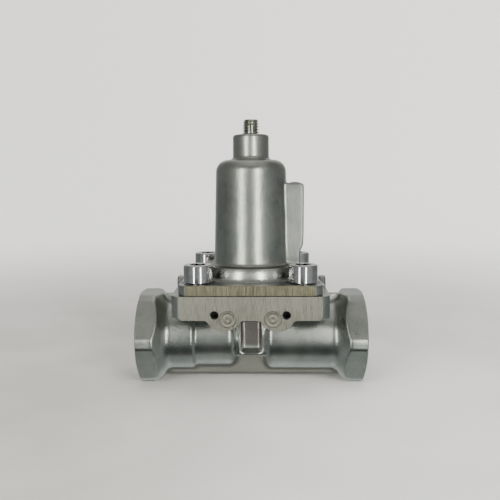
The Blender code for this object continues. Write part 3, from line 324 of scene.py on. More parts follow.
def raised(points, along):
    """A flat outline of points, drawn out into a solid along a vector."""
    shape = bmesh.new()
    face = shape.faces.new([shape.verts.new(point) for point in points])
    moved = bmesh.ops.extrude_face_region(shape, geom=[face])["geom"]
    bmesh.ops.translate(shape, verts=[item for item in moved if isinstance(item, bmesh.types.BMVert)],
                        vec=along)
    bmesh.ops.recalc_face_normals(shape, faces=shape.faces)
    return shape


def block(low, high, *roundings):
    """A box as a bmesh. Each rounding is (axis the edges run along, width, segments, which edges)."""
    shape = bmesh.new()
    bmesh.ops.create_cube(shape, size=1.0)
    low, high = Vector(low), Vector(high)
    place = Matrix.Translation((low + high) / 2) @ Matrix.Diagonal((*(high - low), 1))
    bmesh.ops.transform(shape, matrix=place, verts=shape.verts)
    for along, width, segments, chosen in roundings:
        edges = []
        for edge in shape.edges:
            middle = (edge.verts[0].co + edge.verts[1].co) / 2
            run = (edge.verts[1].co - edge.verts[0].co).normalized()
            if abs(run[along]) > 0.999 and chosen(middle):
                edges.append(edge)
        bmesh.ops.bevel(shape, geom=edges, offset=width, offset_type="OFFSET", affect="EDGES",
                        segments=segments, profile=0.5, material=-1)
    return shape


def rod(radius, start, end, along, place, steps=64):
    """A round rod along X (0), Y (1) or Z (2), from start to end on that axis."""
    shape = bmesh.new()
    bmesh.ops.create_cone(shape, cap_ends=True, segments=steps, radius1=radius, radius2=radius,
                          depth=end - start)
    turn = (Matrix.Rotation(math.radians(90), 4, "Y"), Matrix.Rotation(math.radians(-90), 4, "X"),
            Matrix.Identity(4))[along]
    centre = Vector(place)
    centre[along] = (start + end) / 2
    bmesh.ops.transform(shape, matrix=Matrix.Translation(centre) @ turn, verts=shape.verts)
    return shape


def laid(shape, side):
    """Lays a shape made about Z on the pipe axis, its top towards the outlet (1) or the inlet (-1)."""
    place = Matrix.Translation((0, 0, axis_z)) @ Matrix.Rotation(side * math.radians(90), 4, "Y")
    bmesh.ops.transform(shape, matrix=place, verts=shape.verts)
    return shape


def fitted(base, shapes, operation="DIFFERENCE"):
    """Cuts shapes out of a base one after another, or keeps what it shares with them."""
    base = object_from(base, "blank")
    tools = []
    for shape in shapes:
        tool = object_from(shape, "tool")
        change = base.modifiers.new("fit", "BOOLEAN")
        change.operation = operation
        change.solver = "MANIFOLD"
        change.object = tool
        tools.append(tool)
    bpy.context.view_layer.update()
    graph = bpy.context.evaluated_depsgraph_get()
    made = bmesh.new()
    made.from_object(base, graph)
    for obj in (base, *tools):
        bpy.data.objects.remove(obj, do_unlink=True)
    return made


def heaped(*shapes):
    """Puts several bmeshes into one."""
    whole = bmesh.new()
    for shape in shapes:
        mesh = bpy.data.meshes.new("part")
        shape.to_mesh(mesh)
        shape.free()
        whole.from_mesh(mesh)
        bpy.data.meshes.remove(mesh)
    return whole


def cast(shape, voxel, softening, reach=0.05 * mm):
    """Gives a heap of solids the soft edges of a casting, with its large surfaces left true."""
    bmesh.ops.triangulate(shape, faces=shape.faces)
    true_surface = BVHTree.FromBMesh(shape)
    obj = object_from(shape, "casting")
    remesh = obj.modifiers.new("remesh", "REMESH")
    remesh.mode = "VOXEL"
    remesh.voxel_size = voxel
    relax = obj.modifiers.new("relax", "SMOOTH")
    relax.factor = 0.5
    relax.iterations = softening
    graph = bpy.context.evaluated_depsgraph_get()
    made = bmesh.new()
    made.from_object(obj, graph)
    bpy.data.objects.remove(obj, do_unlink=True)
    for vert in made.verts:
        spot = true_surface.find_nearest(vert.co, reach)[0]
        if spot is not None:
            away = (spot - vert.co).length / reach
            vert.co = vert.co.lerp(spot, min(1.0, 2 * (1 - away)))
    return made


def pipe_end(side):
    """One pipe with its rounded inner end and its hexagon, whose chamfers are turned."""
    inner_x = 5.05 * mm - side * 0.25 * mm
    near = pipe_radius if side > 0 else slim_radius
    shoulder = 0.74
    profile = [
        (0.0, port_x + over),
        (hex_corner, port_x + over),
        (hex_corner, hex_inner_x + shoulder * (hex_corner - hex_flat)),
        (pipe_radius + 1.2 * mm, hex_inner_x - shoulder * (hex_flat - pipe_radius - 1.2 * mm)),
        (pipe_radius + 0.35 * mm, hex_inner_x - shoulder * (hex_flat - pipe_radius) - 0.45 * mm),
        (pipe_radius, hex_inner_x - shoulder * (hex_flat - pipe_radius) - 1.6 * mm),
    ]
    if side < 0:
        profile += [(pipe_radius, 21.7 * mm), (pipe_radius - 0.11 * mm, 21.2 * mm),
                    (slim_radius + 0.11 * mm, 20.4 * mm), (slim_radius, 19.9 * mm)]
    rounding = 3.2 * mm
    profile += arc((near - rounding, inner_x + rounding), rounding, 0, -90, 14)
    profile.append((0.0, inner_x))
    prism = bmesh.new()
    bmesh.ops.create_cone(prism, cap_ends=True, segments=6, radius1=hex_corner, radius2=hex_corner,
                          depth=port_x + 3 * over)
    bmesh.ops.translate(prism, verts=prism.verts, vec=(0, 0, (port_x + 3 * over) / 2))
    corners = [edge for edge in prism.edges if abs(edge.verts[0].co.z - edge.verts[1].co.z) > over]
    bmesh.ops.bevel(prism, geom=corners, offset=1.9 * mm, offset_type="OFFSET", affect="EDGES",
                    segments=1, profile=0.5, material=-1)
    return laid(fitted(spun(profile, 128), [prism], "INTERSECT"), side)


def boss(side):
    """Half-round boss under the flange, from front to rear."""
    reach = half_width + ground_off
    return rod(boss_radius, -reach, reach, 1, (side * boss_x, 0, boss_z), 96)


def lug(side):
    """Cast lug beside the cap's flange, which keeps the cap square on the body."""
    ends = sorted((side * lug_x, side * (lug_x + 2.4 * mm)))
    return block((ends[0], -lug_width / 2, flange_z + 3.6 * mm), (ends[1], lug_width / 2, body_high.z),
                 (0, 2.0 * mm, 6, lambda at: at.z > joint_z), (2, 0.8 * mm, 3, lambda at: True))


# The waist has a pocket in front and behind, between two cheeks and over a sloping ledge.
below_chamber = flange_z + 1.0 * mm
pocket_half = 3.5 * mm
cheek_y = 10.4 * mm
cheek_z = 10.2 * mm
waist_solids = [
    block((-6 * mm, -8.4 * mm, 9.4 * mm), (6 * mm, 8.4 * mm, below_chamber)),
    block((-web_half, -10.6 * mm, 23.6 * mm), (web_half, 10.6 * mm, below_chamber)),
    block((-web_half, -cheek_y, cheek_z), (-pocket_half, cheek_y, below_chamber)),
    block((pocket_half, -cheek_y, cheek_z), (web_half, cheek_y, below_chamber)),
]
for front in (-1, 1):
    outline = [(8.0, 13.3), (8.0, 10.2), (10.4, 10.2), (10.4, 10.9), (10.0, 11.1)]
    waist_solids.append(raised([(-web_half, front * y * mm, z * mm) for y, z in outline], (2 * web_half, 0, 0)))

cast_y = half_width + ground_off
fin_x = hex_inner_x + 0.6 * mm
fin_half = 1.5 * mm
corner_rounding = 5 * mm
body_shape = cast(heaped(
    block((-flange_half, -cast_y, flange_z), (flange_half, cast_y, joint_z + over),
          (2, corner_rounding, 10, lambda at: True), (1, 2.6 * mm, 6, lambda at: at.z < joint_z - over)),
    block((-fin_x, -fin_half, 0.5 * mm), (fin_x, fin_half, 2 * axis_z - 0.5 * mm)),
    *waist_solids, pipe_end(-1), pipe_end(1), boss(-1), boss(1), lug(-1), lug(1)), 0.48 * mm, 6)

# The machining: joint face, chamber and seat, ports with their M22 x 1.5 threads, and the holes.
chamber_radius = 16.8 * mm
rim_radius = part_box("diaphragm")[1].x + gap
recess_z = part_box("diaphragm")[1].z - 1.7 * mm
chamber_z = flange_z + 2.0 * mm
seat_low, seat_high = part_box("seat_ring")
passage_radius = 4.4 * mm
sleeve_radius = passage_radius + 1.5 * mm
thread_radius = 10.25 * mm
thread_pitch = 1.5 * mm
thread_end = port_x - 15 * mm
bore_radius = 9.0 * mm
ring_low, ring_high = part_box("retaining_ring")
outlet_seat_x = valve_disc_low.x - gap


def thread(radius, pitch, depth, start, end, steps, inside=False):
    """A helical groove cutter about Z, for an outside thread or, with inside, for a tapped hole."""
    away = -1 if inside else 1
    face_shape = bmesh.new()
    outline = [(radius + away * pitch * 0.2, -pitch * 0.46), (radius + away * pitch * 0.2, pitch * 0.46),
               (radius - away * depth, pitch * 0.07), (radius - away * depth, -pitch * 0.07)]
    face = face_shape.faces.new([face_shape.verts.new((r, 0, start + z)) for r, z in outline])
    turns = (end - start) / pitch
    count = int(turns * steps)
    bmesh.ops.spin(face_shape, geom=[*face_shape.verts, *face_shape.edges, face], cent=(0, 0, 0),
                   axis=(0, 0, 1), dvec=(0, 0, pitch * turns / count), angle=2 * math.pi * turns, steps=count)
    bmesh.ops.recalc_face_normals(face_shape, faces=face_shape.faces)
    return face_shape


def port_cutters(side):
    """The port's face with its outer chamfer, the threaded bore and the smooth bore behind it."""
    mouth = thread_radius + 1.3 * mm
    far = hex_corner + 2 * mm
    face_ring = spun([(0, port_x), (15 * mm, port_x), (far, port_x - 0.34 * (far - 15 * mm)),
                      (far, port_x + 3 * over), (0, port_x + 3 * over)], 128)
    end_x = outlet_seat_x if side > 0 else 8.5 * mm
    bore = [(0, port_x + over), (mouth + over, port_x + over), (thread_radius, port_x - 1.3 * mm),
            (thread_radius, thread_end), (bore_radius, thread_end - thread_radius + bore_radius)]
    if side > 0:
        groove = bore_radius + 0.9 * mm
        bore += [(bore_radius, ring_high.x + gap), (groove, ring_high.x + gap),
                 (groove, ring_low.x - gap / 2), (bore_radius, ring_low.x - gap / 2)]
    bore += [(bore_radius, end_x), (0, end_x)]
    helix = thread(thread_radius, thread_pitch, 0.8 * mm, thread_end + 1.6 * mm, port_x + 0.5 * mm, 64,
                   inside=True)
    return [laid(cutter, side) for cutter in (face_ring, spun(bore, 127), helix)]


screw_places = {}
for place in ("front_left", "front_right", "rear_left", "rear_right"):
    low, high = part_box("cap_screw_" + place)
    screw_places[place] = ((low.x + high.x) / 2, (low.y + high.y) / 2)
plug_places = {}
for place in ("left", "right"):
    low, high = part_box("passage_plug_" + place)
    plug_places[place] = ((low.x + high.x) / 2, (low.z + high.z) / 2)

cuts = [
    block((-lug_x + 0.1 * mm, -half_width - over, joint_z),
          (lug_x - 0.1 * mm, half_width + over, joint_z + 3 * over)),
    spun([(0, joint_z + over), (rim_radius, joint_z + over), (rim_radius, recess_z), (chamber_radius, recess_z),
          (chamber_radius, chamber_z), (sleeve_radius + gap, chamber_z), (sleeve_radius + gap, seat_low.z - gap),
          (passage_radius, seat_low.z - gap), (passage_radius, axis_z - over), (0, axis_z - over)], 125),
    rod(4.9 * mm, -2.2 * mm, outlet_seat_x + over, 0, (0, 0, axis_z)),
    rod(3.6 * mm, axis_z + 4.5 * mm, chamber_z + over, 2, (-12.2 * mm, 0, 0)),
    *port_cutters(-1), *port_cutters(1),
]
for front in (-1, 1):
    near, far = sorted((front * half_width, front * (half_width + 2 * over)))
    cuts.append(block((-flange_half - over, near, 0), (flange_half + over, far, joint_z + 4 * over)))
    for side in (-1, 1):
        inner, outer = sorted((side * (lug_x - 0.2 * mm), side * (flange_half + over)))
        near, far = sorted((front * (lug_width / 2 + 0.5 * mm), front * (half_width + over)))
        cuts.append(block((inner, near, joint_z), (outer, far, joint_z + 3 * over)))
for x, y in screw_places.values():
    cuts.append(rod(screw_hole, flange_z - over, joint_z + over, 2, (x, y, 0), 40))
plug_radius = 2.9 * mm
for x, z in plug_places.values():
    cuts.append(rod(plug_radius, -half_width - over, -half_width + 4.0 * mm, 1, (x, 0, z), 40))
    cuts.append(rod(1.6 * mm, -half_width + 2.4 * mm, -12.6 * mm, 1, (x, 0, z), 24))
    vent = (math.copysign(vent_x, x), 0, vent_z)
    cuts.append(rod(1.45 * mm, -half_width - over, -half_width + 4.6 * mm, 1, vent, 28))

body = object_from(fitted(body_shape, cuts), "body_casting", 32)


def cast_finish(name):
    """Die-cast light alloy: a satin skin, clouded and faintly mottled, with flow streaks."""
    finish = Finish(name, (0.45, 0.455, 0.44), 0.4, metallic=1.0)
    grain = finish.noise(0.5 * mm, detail=4)
    cloud = finish.noise(8 * mm, detail=2)
    speck = finish.noise(1.7 * mm, detail=5, roughness=0.7)
    finish.tone = finish.mix(cloud.between(0.35, 0.65), (0.425, 0.445, 0.42), (0.52, 0.535, 0.50))
    smear = finish.noise(2.6 * mm, finish.stretched((1, 1, 0.45)), detail=4, roughness=0.65)
    finish.tone = finish.mix(speck.between(0.55, 0.72) * 0.45, finish.tone, (0.62, 0.625, 0.59))
    finish.tone = finish.mix(smear.between(0.47, 0.32) * 0.30, finish.tone, (0.30, 0.31, 0.29))
    finish.rough = 0.20 + grain * 0.14 + cloud * 0.06
    finish.height = grain * 0.6 + speck * 0.9 + smear * 2.0
    return finish


def ground(finish, amount, tone, dark, fineness=0.16 * mm):
    """Vertical grinding or shearing marks over a flat face, as strong as the amount there."""
    marks = finish.noise(fineness, finish.stretched((1, 1, 0.05)), detail=5, roughness=0.75)
    broad = finish.noise(1.1 * mm, finish.stretched((1, 1, 0.12), (7, 3, 1)), detail=3)
    marked = finish.mix(marks.between(0.40, 0.60), dark, tone)
    marked = finish.mix(broad.between(0.35, 0.65) * 0.45, marked, tone)
    finish.tone = finish.mix(amount, finish.tone, marked)
    finish.rough = finish.rough * (1 - amount) + amount * (0.42 + marks * 0.16)
    finish.height = finish.height * (1 - amount) + amount * marks * 2.2


alloy = cast_finish("cast_alloy")
across, deep, tall = (alloy.axis(index) for index in range(3))
face_y = half_width - 0.02 * mm
ground_face = deep.math("ABSOLUTE").between(face_y - 0.06 * mm, face_y)
ground_free = tall.between(flange_z - 0.4 * mm, flange_z - 0.8 * mm)
ground(alloy, ground_face, (0.51, 0.495, 0.425), (0.24, 0.23, 0.19))
# Painted shade: the inside of each vent hole is painted near black and made not metallic.
hole_x = across.math("ABSOLUTE") - vent_x
hole_z = tall - vent_z
from_vent = (hole_x * hole_x + hole_z * hole_z).math("SQRT")
vent_painted_shade = from_vent.between(1.75 * mm, 1.4 * mm)
vent_painted_shade = vent_painted_shade * deep.between(-half_width + 0.3 * mm, -half_width + 1.0 * mm)
vent_painted_shade = vent_painted_shade * deep.between(-half_width + 6 * mm, -half_width + 5 * mm)
web_face = deep.math("ABSOLUTE").between(2.1 * mm, 1.7 * mm) * tall.between(12 * mm, 10 * mm)
alloy.tone = alloy.mix(web_face * 0.6, alloy.tone, (0.42, 0.395, 0.35))
alloy.rough = alloy.rough + web_face * 0.22
# Painted shade with a brownish painted reflection on the back face of the pocket.
pocket_painted_shade = across.math("ABSOLUTE").between(4.0 * mm, 3.4 * mm) * tall.between(13.4 * mm, 14.4 * mm) * ground_free
alloy.tone = alloy.mix(pocket_painted_shade * 0.75, alloy.tone, (0.36, 0.30, 0.27))
turned_face = across.math("ABSOLUTE").between(port_x - 0.2 * mm, port_x - 0.05 * mm)
alloy.tone = alloy.mix(turned_face * 0.6, alloy.tone, (0.62, 0.62, 0.60))
alloy.tone = alloy.mix(vent_painted_shade, alloy.tone, (0.012, 0.012, 0.012))
alloy.set(Base_Color=alloy.tone, Roughness=alloy.rough, Metallic=1 - vent_painted_shade,
          Normal=alloy.bump(alloy.height, 0.022 * mm))
stand_in(body, alloy, "housing", "valve_body")


# ---- Passage plugs ---------------------------------------
# Two soft plugs close the drilled passages in the front of the flange. They are pressed in and
# ground with the face, so only a faint ring and a shallow punch mark show.
plug_alloy = cast_finish("ground_plug")
ground(plug_alloy, 1, (0.46, 0.435, 0.375), (0.25, 0.225, 0.19), 0.2 * mm)
plug_alloy.set(Base_Color=plug_alloy.tone, Roughness=plug_alloy.rough,
               Normal=plug_alloy.bump(plug_alloy.height, 0.022 * mm))
for place, (x, z) in plug_places.items():
    plug_low, plug_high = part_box("passage_plug_" + place)
    chamfer = 0.08 * mm
    mark = 0.05 * mm
    radius = plug_radius - chamfer
    length = plug_high.y - plug_low.y
    ring_groove = 0.55 * radius
    shape = spun([(0, -chamfer), (0.35 * mm, -mark), (0.5 * mm, 0), (ring_groove, 0),
                  (ring_groove + 0.1 * mm, -mark), (ring_groove + 0.2 * mm, -mark),
                  (ring_groove + 0.3 * mm, 0), (radius - chamfer, 0), (radius, -chamfer),
                  (radius, -length), (0, -length)], 48)
    turn = Matrix.Translation((x, plug_low.y, z)) @ Matrix.Rotation(math.radians(90), 4, "X")
    bmesh.ops.transform(shape, matrix=turn, verts=shape.verts)
    plug = object_from(shape, "ground_plug_" + place)
    stand_in(plug, plug_alloy, "housing", "passage_plug_" + place)


# ---- Seat ------------------------------------------------
# A brass ring turned from bar and pressed into the floor of the chamber. The diaphragm closes on
# its lip, and a rubber O-ring in the groove round its sleeve seals it to the body.
brass = Finish("seat_brass", (0.62, 0.44, 0.19), 0.26, metallic=1.0)
turning = brass.noise(0.15 * mm, brass.stretched((0.03, 0.03, 1)))
stain = brass.noise(3 * mm, detail=2).between(0.35, 0.65)
brass.set(Base_Color=brass.mix(stain, (0.64, 0.46, 0.20), (0.50, 0.34, 0.14)),
          Roughness=0.20 + turning * 0.2, Normal=brass.bump(turning, 0.01 * mm))
seat_rim = seat_high.x
seat_flange_z = chamber_z + gap
seat_flange_top = seat_flange_z + 0.8 * mm
groove_radius = sleeve_radius - 0.9 * mm
o_ring_low, o_ring_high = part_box("seat_o_ring")
seat = object_from(spun([
    (passage_radius, seat_high.z - 0.15 * mm), (passage_radius + 0.15 * mm, seat_high.z),
    (passage_radius + 0.9 * mm, seat_high.z), (passage_radius + 1.2 * mm, seat_flange_top),
    (seat_rim - 0.2 * mm, seat_flange_top), (seat_rim, seat_flange_top - 0.2 * mm), (seat_rim, seat_flange_z),
    (sleeve_radius, seat_flange_z), (sleeve_radius, o_ring_high.z + gap), (groove_radius, o_ring_high.z + gap),
    (groove_radius, o_ring_low.z - gap), (sleeve_radius, o_ring_low.z - gap),
    (sleeve_radius, seat_low.z + 0.3 * mm), (sleeve_radius - 0.3 * mm, seat_low.z),
    (passage_radius, seat_low.z)], 96, closed=True), "pressed_seat")
stand_in(seat, brass, "housing", "seat_ring")

rubber = Finish("seal_rubber", (0.022, 0.022, 0.024), 0.55)
bloom = rubber.noise(1.2 * mm, detail=4)
rubber.set(Base_Color=rubber.mix(bloom.between(0.4, 0.7) * 0.6, (0.018, 0.018, 0.020), (0.045, 0.045, 0.046)),
           Roughness=0.45 + bloom * 0.25, Normal=rubber.bump(rubber.noise(0.2 * mm), 0.01 * mm))
o_ring_radius = (groove_radius + sleeve_radius + gap) / 2
o_ring_z = (o_ring_low.z + o_ring_high.z) / 2
o_ring_width = (sleeve_radius - groove_radius) / 2
o_ring_height = (o_ring_high.z - o_ring_low.z) / 2
o_ring = object_from(spun([(o_ring_radius + o_ring_width * a, o_ring_z + o_ring_height * b)
                           for a, b in arc((0, 0), 1, 0, 345, 23)], 96, closed=True), "squeezed_o_ring")
stand_in(o_ring, rubber, "housing", "seat_o_ring")


# ---- Check valve -----------------------------------------
# A moulded nylon disc with a rubber washer on its front closes the outlet passage. Its stem slides
# in a plated retainer, a light spring holds it shut, and a snap ring in the bore holds the rest.
nylon = Finish("moulded_nylon", (0.74, 0.71, 0.62), 0.42, Subsurface_Weight=0.15, Subsurface_Scale=0.5 * mm)
sink = nylon.noise(2.5 * mm, detail=2)
nylon.set(Base_Color=nylon.mix(sink.between(0.35, 0.65), (0.76, 0.73, 0.64), (0.68, 0.64, 0.54)),
          Roughness=0.34 + sink * 0.16, Normal=nylon.bump(nylon.noise(0.15 * mm), 0.006 * mm))
disc_x = outlet_seat_x + 2.0 * mm
disc_back = disc_x + 1.4 * mm
disc_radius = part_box("check_disc")[1].y
hub_radius = 3.0 * mm
stem_radius = 1.7 * mm
nose_radius = 2.2 * mm
stem_x = valve_disc_high.x
hub_x = disc_back + 1.4 * mm
poppet = object_from(laid(spun([
    (0, stem_x), (stem_radius - 0.4 * mm, stem_x), (stem_radius, stem_x - 0.4 * mm), (stem_radius, hub_x),
    (hub_radius - 0.2 * mm, hub_x), (hub_radius, hub_x - 0.2 * mm), (hub_radius, disc_back),
    (disc_radius - 0.25 * mm, disc_back), (disc_radius, disc_back - 0.25 * mm), (disc_radius, disc_x),
    (nose_radius, disc_x),
    (nose_radius, valve_disc_low.x + 0.3 * mm), (nose_radius - 0.3 * mm, valve_disc_low.x),
    (0, valve_disc_low.x)], 72), 1), "check_poppet")
stand_in(poppet, nylon, "check_valve", "check_disc")

seal_radius = disc_radius - gap
seal_low, seal_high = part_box("check_seal")
washer = object_from(laid(spun([
    (nose_radius + gap, seal_high.x), (seal_radius, seal_high.x), (seal_radius, seal_low.x + 0.2 * mm),
    (seal_radius - 0.2 * mm, seal_low.x), (nose_radius + gap, seal_low.x)], 72, closed=True), 1), "check_washer")
stand_in(washer, rubber, "check_valve", "check_seal")


def coil(radius, wire, low, high, turns, first, last):
    """A spring about Z, or the part of it between two turns: a helix with its end turns closed."""
    rise = high - low - wire
    pitch = rise / turns
    shape = bmesh.new()
    bmesh.ops.create_circle(shape, cap_ends=True, segments=14, radius=wire / 2)
    stand = (Matrix.Rotation(2 * math.pi * first, 4, "Z")
             @ Matrix.Translation((radius, 0, low + wire / 2 + pitch * first))
             @ Matrix.Rotation(math.radians(90), 4, "X"))
    bmesh.ops.transform(shape, matrix=stand, verts=shape.verts)
    count = round((last - first) * 40)
    bmesh.ops.spin(shape, geom=[*shape.verts, *shape.edges, *shape.faces], cent=(0, 0, 0), axis=(0, 0, 1),
                   dvec=(0, 0, pitch * (last - first) / count), angle=2 * math.pi * (last - first), steps=count)
    end_rise = 1.12 * wire
    for vert in shape.verts:
        part = (math.atan2(vert.co.y, vert.co.x) / (2 * math.pi)) % 1.0
        at = part + round((vert.co.z - low - wire / 2) / pitch - part)
        if at < 1:
            level = end_rise * at
        elif at > turns - 1:
            level = rise - end_rise * (turns - at)
        else:
            level = end_rise + (rise - 2 * end_rise) * (at - 1) / (turns - 2)
        vert.co.z += level - pitch * at
    bmesh.ops.recalc_face_normals(shape, faces=shape.faces)
    return shape


steel = Finish("spring_wire", (0.30, 0.30, 0.30), 0.3, metallic=1.0)
drawn = steel.noise(0.4 * mm, detail=4)
steel.set(Base_Color=steel.mix(drawn.between(0.4, 0.65), (0.34, 0.335, 0.33), (0.20, 0.195, 0.19)),
          Roughness=0.22 + drawn * 0.2, Normal=steel.bump(drawn, 0.006 * mm))
light_low, light_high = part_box("check_spring")
light_wire = 0.5 * mm
light_turns = 4.5
light_radius = hub_radius + gap + light_wire / 2 + 0.5 * mm
light_coil = coil(light_radius, light_wire, light_low.x, light_high.x, light_turns, 0, light_turns)
light_spring = object_from(laid(light_coil, 1), "light_spring")
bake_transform(light_spring)
stand_in(light_spring, steel, "housing", "check_spring")


def zinc_finish(name, tone, shade, rough):
    """Bright zinc plate with faint clouds and handling marks."""
    finish = Finish(name, tone, rough, metallic=1.0)
    cloud = finish.noise(2.2 * mm, detail=3)
    fine = finish.noise(0.3 * mm, detail=3)
    finish.set(Base_Color=finish.mix(cloud.between(0.35, 0.68), tone, shade),
               Roughness=rough + fine.between(0.5, 0.75) * rough * 2,
               Normal=finish.bump(fine * 0.3 + cloud, 0.003 * mm))
    return finish


plated = zinc_finish("plated_steel", (0.62, 0.62, 0.61), (0.48, 0.48, 0.475), 0.2)
retainer_low, retainer_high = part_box("check_retainer")
retainer_radius = bore_radius - gap
hole_radius = 1.6 * mm
hole_circle = retainer_radius - hole_radius - 0.5 * mm
blank = spun([(stem_radius + gap, retainer_high.x), (retainer_radius - 0.2 * mm, retainer_high.x),
              (retainer_radius, retainer_high.x - 0.2 * mm), (retainer_radius, retainer_low.x),
              (stem_radius + gap, retainer_low.x)], 96, closed=True)
flow_holes = []
hole_count = 6
for number in range(hole_count):
    angle = 2 * math.pi * number / hole_count
    place = (hole_circle * math.sin(angle), hole_circle * math.cos(angle), 0)
    flow_holes.append(rod(hole_radius, retainer_low.x - over, retainer_high.x + over, 2, place, 40))
retainer = object_from(laid(fitted(blank, flow_holes), 1), "stem_guide")
stand_in(retainer, plated, "housing", "check_retainer")

snap_outer = bore_radius + 0.6 * mm
snap_inner = snap_outer - 1.7 * mm
snap_gap = 2.5 * mm
blank = spun([(snap_inner, ring_high.x), (snap_outer - 0.1 * mm, ring_high.x), (snap_outer, ring_high.x - 0.1 * mm),
              (snap_outer, ring_low.x), (snap_inner, ring_low.x)], 96, closed=True)
opening = block((0, -snap_gap, ring_low.x - over), (snap_outer + over, snap_gap, ring_high.x + over))
snap_ring = object_from(laid(fitted(blank, [opening]), 1), "snap_ring")
stand_in(snap_ring, steel, "housing", "retaining_ring")


# ---- Diaphragm and lift plate ----------------------------
# A moulded dish of fabric-reinforced rubber, held by its rim under the cap. A rivet clamps its
# middle to the plated steel plate that carries the spring and stops against the step in the cap.
plate_low, plate_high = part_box("diaphragm_plate")
dish_low, dish_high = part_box("diaphragm")
wall = 1.4 * mm
plate_radius = 12.4 * mm
disc_edge = plate_radius + 0.4 * mm
rim_inner = 15.9 * mm
rivet_radius = 1.9 * mm
dish_radius = dish_high.x
disc_top = dish_low.z + wall
rim_low = dish_high.z - wall
dish = object_from(spun([
    (rivet_radius + gap, disc_top), (disc_edge, disc_top), (disc_edge + 0.3 * mm, disc_top + 0.06 * mm),
    (disc_edge + 0.55 * mm, disc_top + 0.3 * mm), (rim_inner - 0.55 * mm, dish_high.z - 0.3 * mm),
    (rim_inner - 0.3 * mm, dish_high.z - 0.06 * mm), (rim_inner, dish_high.z), (dish_radius, dish_high.z),
    (dish_radius, rim_low), (rim_inner + 0.55 * mm, rim_low), (rim_inner + 0.14 * mm, rim_low - 0.2 * mm),
    (disc_edge + 1.26 * mm, dish_low.z + 0.2 * mm), (disc_edge + 0.7 * mm, dish_low.z),
    (rivet_radius + gap, dish_low.z)], 120, closed=True), "rubber_dish")
fabric = Finish("fabric_rubber", (0.03, 0.03, 0.032), 0.6)
weave_pitch = 0.8 * mm
weave = [(fabric.axis(index) * (2 * math.pi / weave_pitch)).math("SINE") for index in (0, 1)]
bloom = fabric.noise(1.5 * mm).between(0.4, 0.7)
fabric.set(Base_Color=fabric.mix(bloom, (0.022, 0.022, 0.024), (0.042, 0.042, 0.042)),
           Roughness=0.5 + fabric.noise(0.5 * mm) * 0.2, Normal=fabric.bump(weave[0] * weave[1], 0.02 * mm))
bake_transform(dish)
stand_in(dish, fabric, "housing", "diaphragm")

shoulder_radius = 9.85 * mm
guide_radius = 6.25 * mm
plate_top = plate_low.z + 1.1 * mm
shoulder_top = plate_top + 0.9 * mm
lift_plate = object_from(spun([
    (rivet_radius + gap, plate_high.z), (guide_radius - 0.6 * mm, plate_high.z),
    (guide_radius, plate_high.z - 0.6 * mm), (guide_radius, shoulder_top),
    (shoulder_radius - 0.2 * mm, shoulder_top), (shoulder_radius, shoulder_top - 0.2 * mm),
    (shoulder_radius, plate_top), (plate_radius - 0.25 * mm, plate_top), (plate_radius, plate_top - 0.25 * mm),
    (plate_radius, plate_low.z), (rivet_radius + gap, plate_low.z)], 96, closed=True), "spring_plate")
stand_in(lift_plate, plated, "lift_plate", "diaphragm_plate")

rivet_low, rivet_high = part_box("diaphragm_rivet")
rivet_head = 3.3 * mm
rivet = object_from(spun([
    (0, rivet_high.z), (1.0 * mm, rivet_high.z - 0.04 * mm), (2.0 * mm, rivet_high.z - 0.2 * mm),
    (2.6 * mm, rivet_high.z - 0.6 * mm), (2.8 * mm, plate_high.z + gap), (rivet_radius, plate_high.z + gap),
    (rivet_radius, dish_low.z - gap), (rivet_head, dish_low.z - gap), (rivet_head, rivet_low.z + 0.56 * mm),
    (rivet_head - 0.2 * mm, rivet_low.z + 0.3 * mm), (2.3 * mm, rivet_low.z), (0, rivet_low.z)], 72), "clamp_rivet")
stand_in(rivet, plated, "lift_plate", "diaphragm_rivet")


# ---- Main spring and its seat ----------------------------
# A compression spring of oiled steel wire with closed ends, made in two halves that are both
# attached to the housing. The plated seat above it is pushed down by the adjusting screw.
upper_low, upper_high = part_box("upper_spring_seat")
spring_low, spring_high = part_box("main_spring")
spring_wire = 2.4 * mm
spring_turns = 7.0
spring_radius = 8.25 * mm
half_turns = spring_turns / 2
for name, turns, moved_by, end_z in (("spring_lower", (0, half_turns), "lift_plate", spring_low.z),
                                     ("spring_upper", (half_turns, spring_turns), "spring_seat", spring_high.z)):
    half = coil(spring_radius, spring_wire, spring_low.z, spring_high.z, spring_turns, *turns)
    spring = object_from(half, name)
    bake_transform(spring)
    stand_in(spring, steel, "housing", "main_spring")

seat_plate_top = upper_high.z - 1.2 * mm
seat_plate_z = seat_plate_top - 2.0 * mm
seat_outer = spring_radius + spring_wire / 2 + 0.4 * mm
upper_seat = object_from(spun([
    (0, upper_high.z), (3.9 * mm, upper_high.z), (4.2 * mm, seat_plate_top + 0.2 * mm), (4.3 * mm, seat_plate_top),
    (seat_outer - 0.3 * mm, seat_plate_top), (seat_outer, seat_plate_top - 0.3 * mm), (seat_outer, seat_plate_z),
    (guide_radius, seat_plate_z), (guide_radius - 0.8 * mm, upper_low.z), (0, upper_low.z)], 96), "upper_cup")
stand_in(upper_seat, plated, "spring_seat", "upper_spring_seat")


# ---- Spring cap ------------------------------------------
# The second die casting: a square flange sheared along its edges, a ring that is turned bright, a
# barrel that tapers slightly upwards, a neck for the adjusting screw and a flat rib on one side.
cap_half = 24.6 * mm
flange_top = cap_low.z + 3.4 * mm
ring_radius = 18.5 * mm
ring_top = flange_top + 4.45 * mm
base_radius = 13.7 * mm
top_radius = 12.85 * mm
shoulder_z = flange_top + 42.4 * mm
neck_radius = 6.6 * mm
neck_top = cap_high.z
rib_half = 5.8 * mm
rib_reach = 19.1 * mm
rib_foot_reach = 17.85 * mm
rib_top = shoulder_z - 8.4 * mm
rib_step_z = shoulder_z - 31.8 * mm
foot_radius = 19.2 * mm

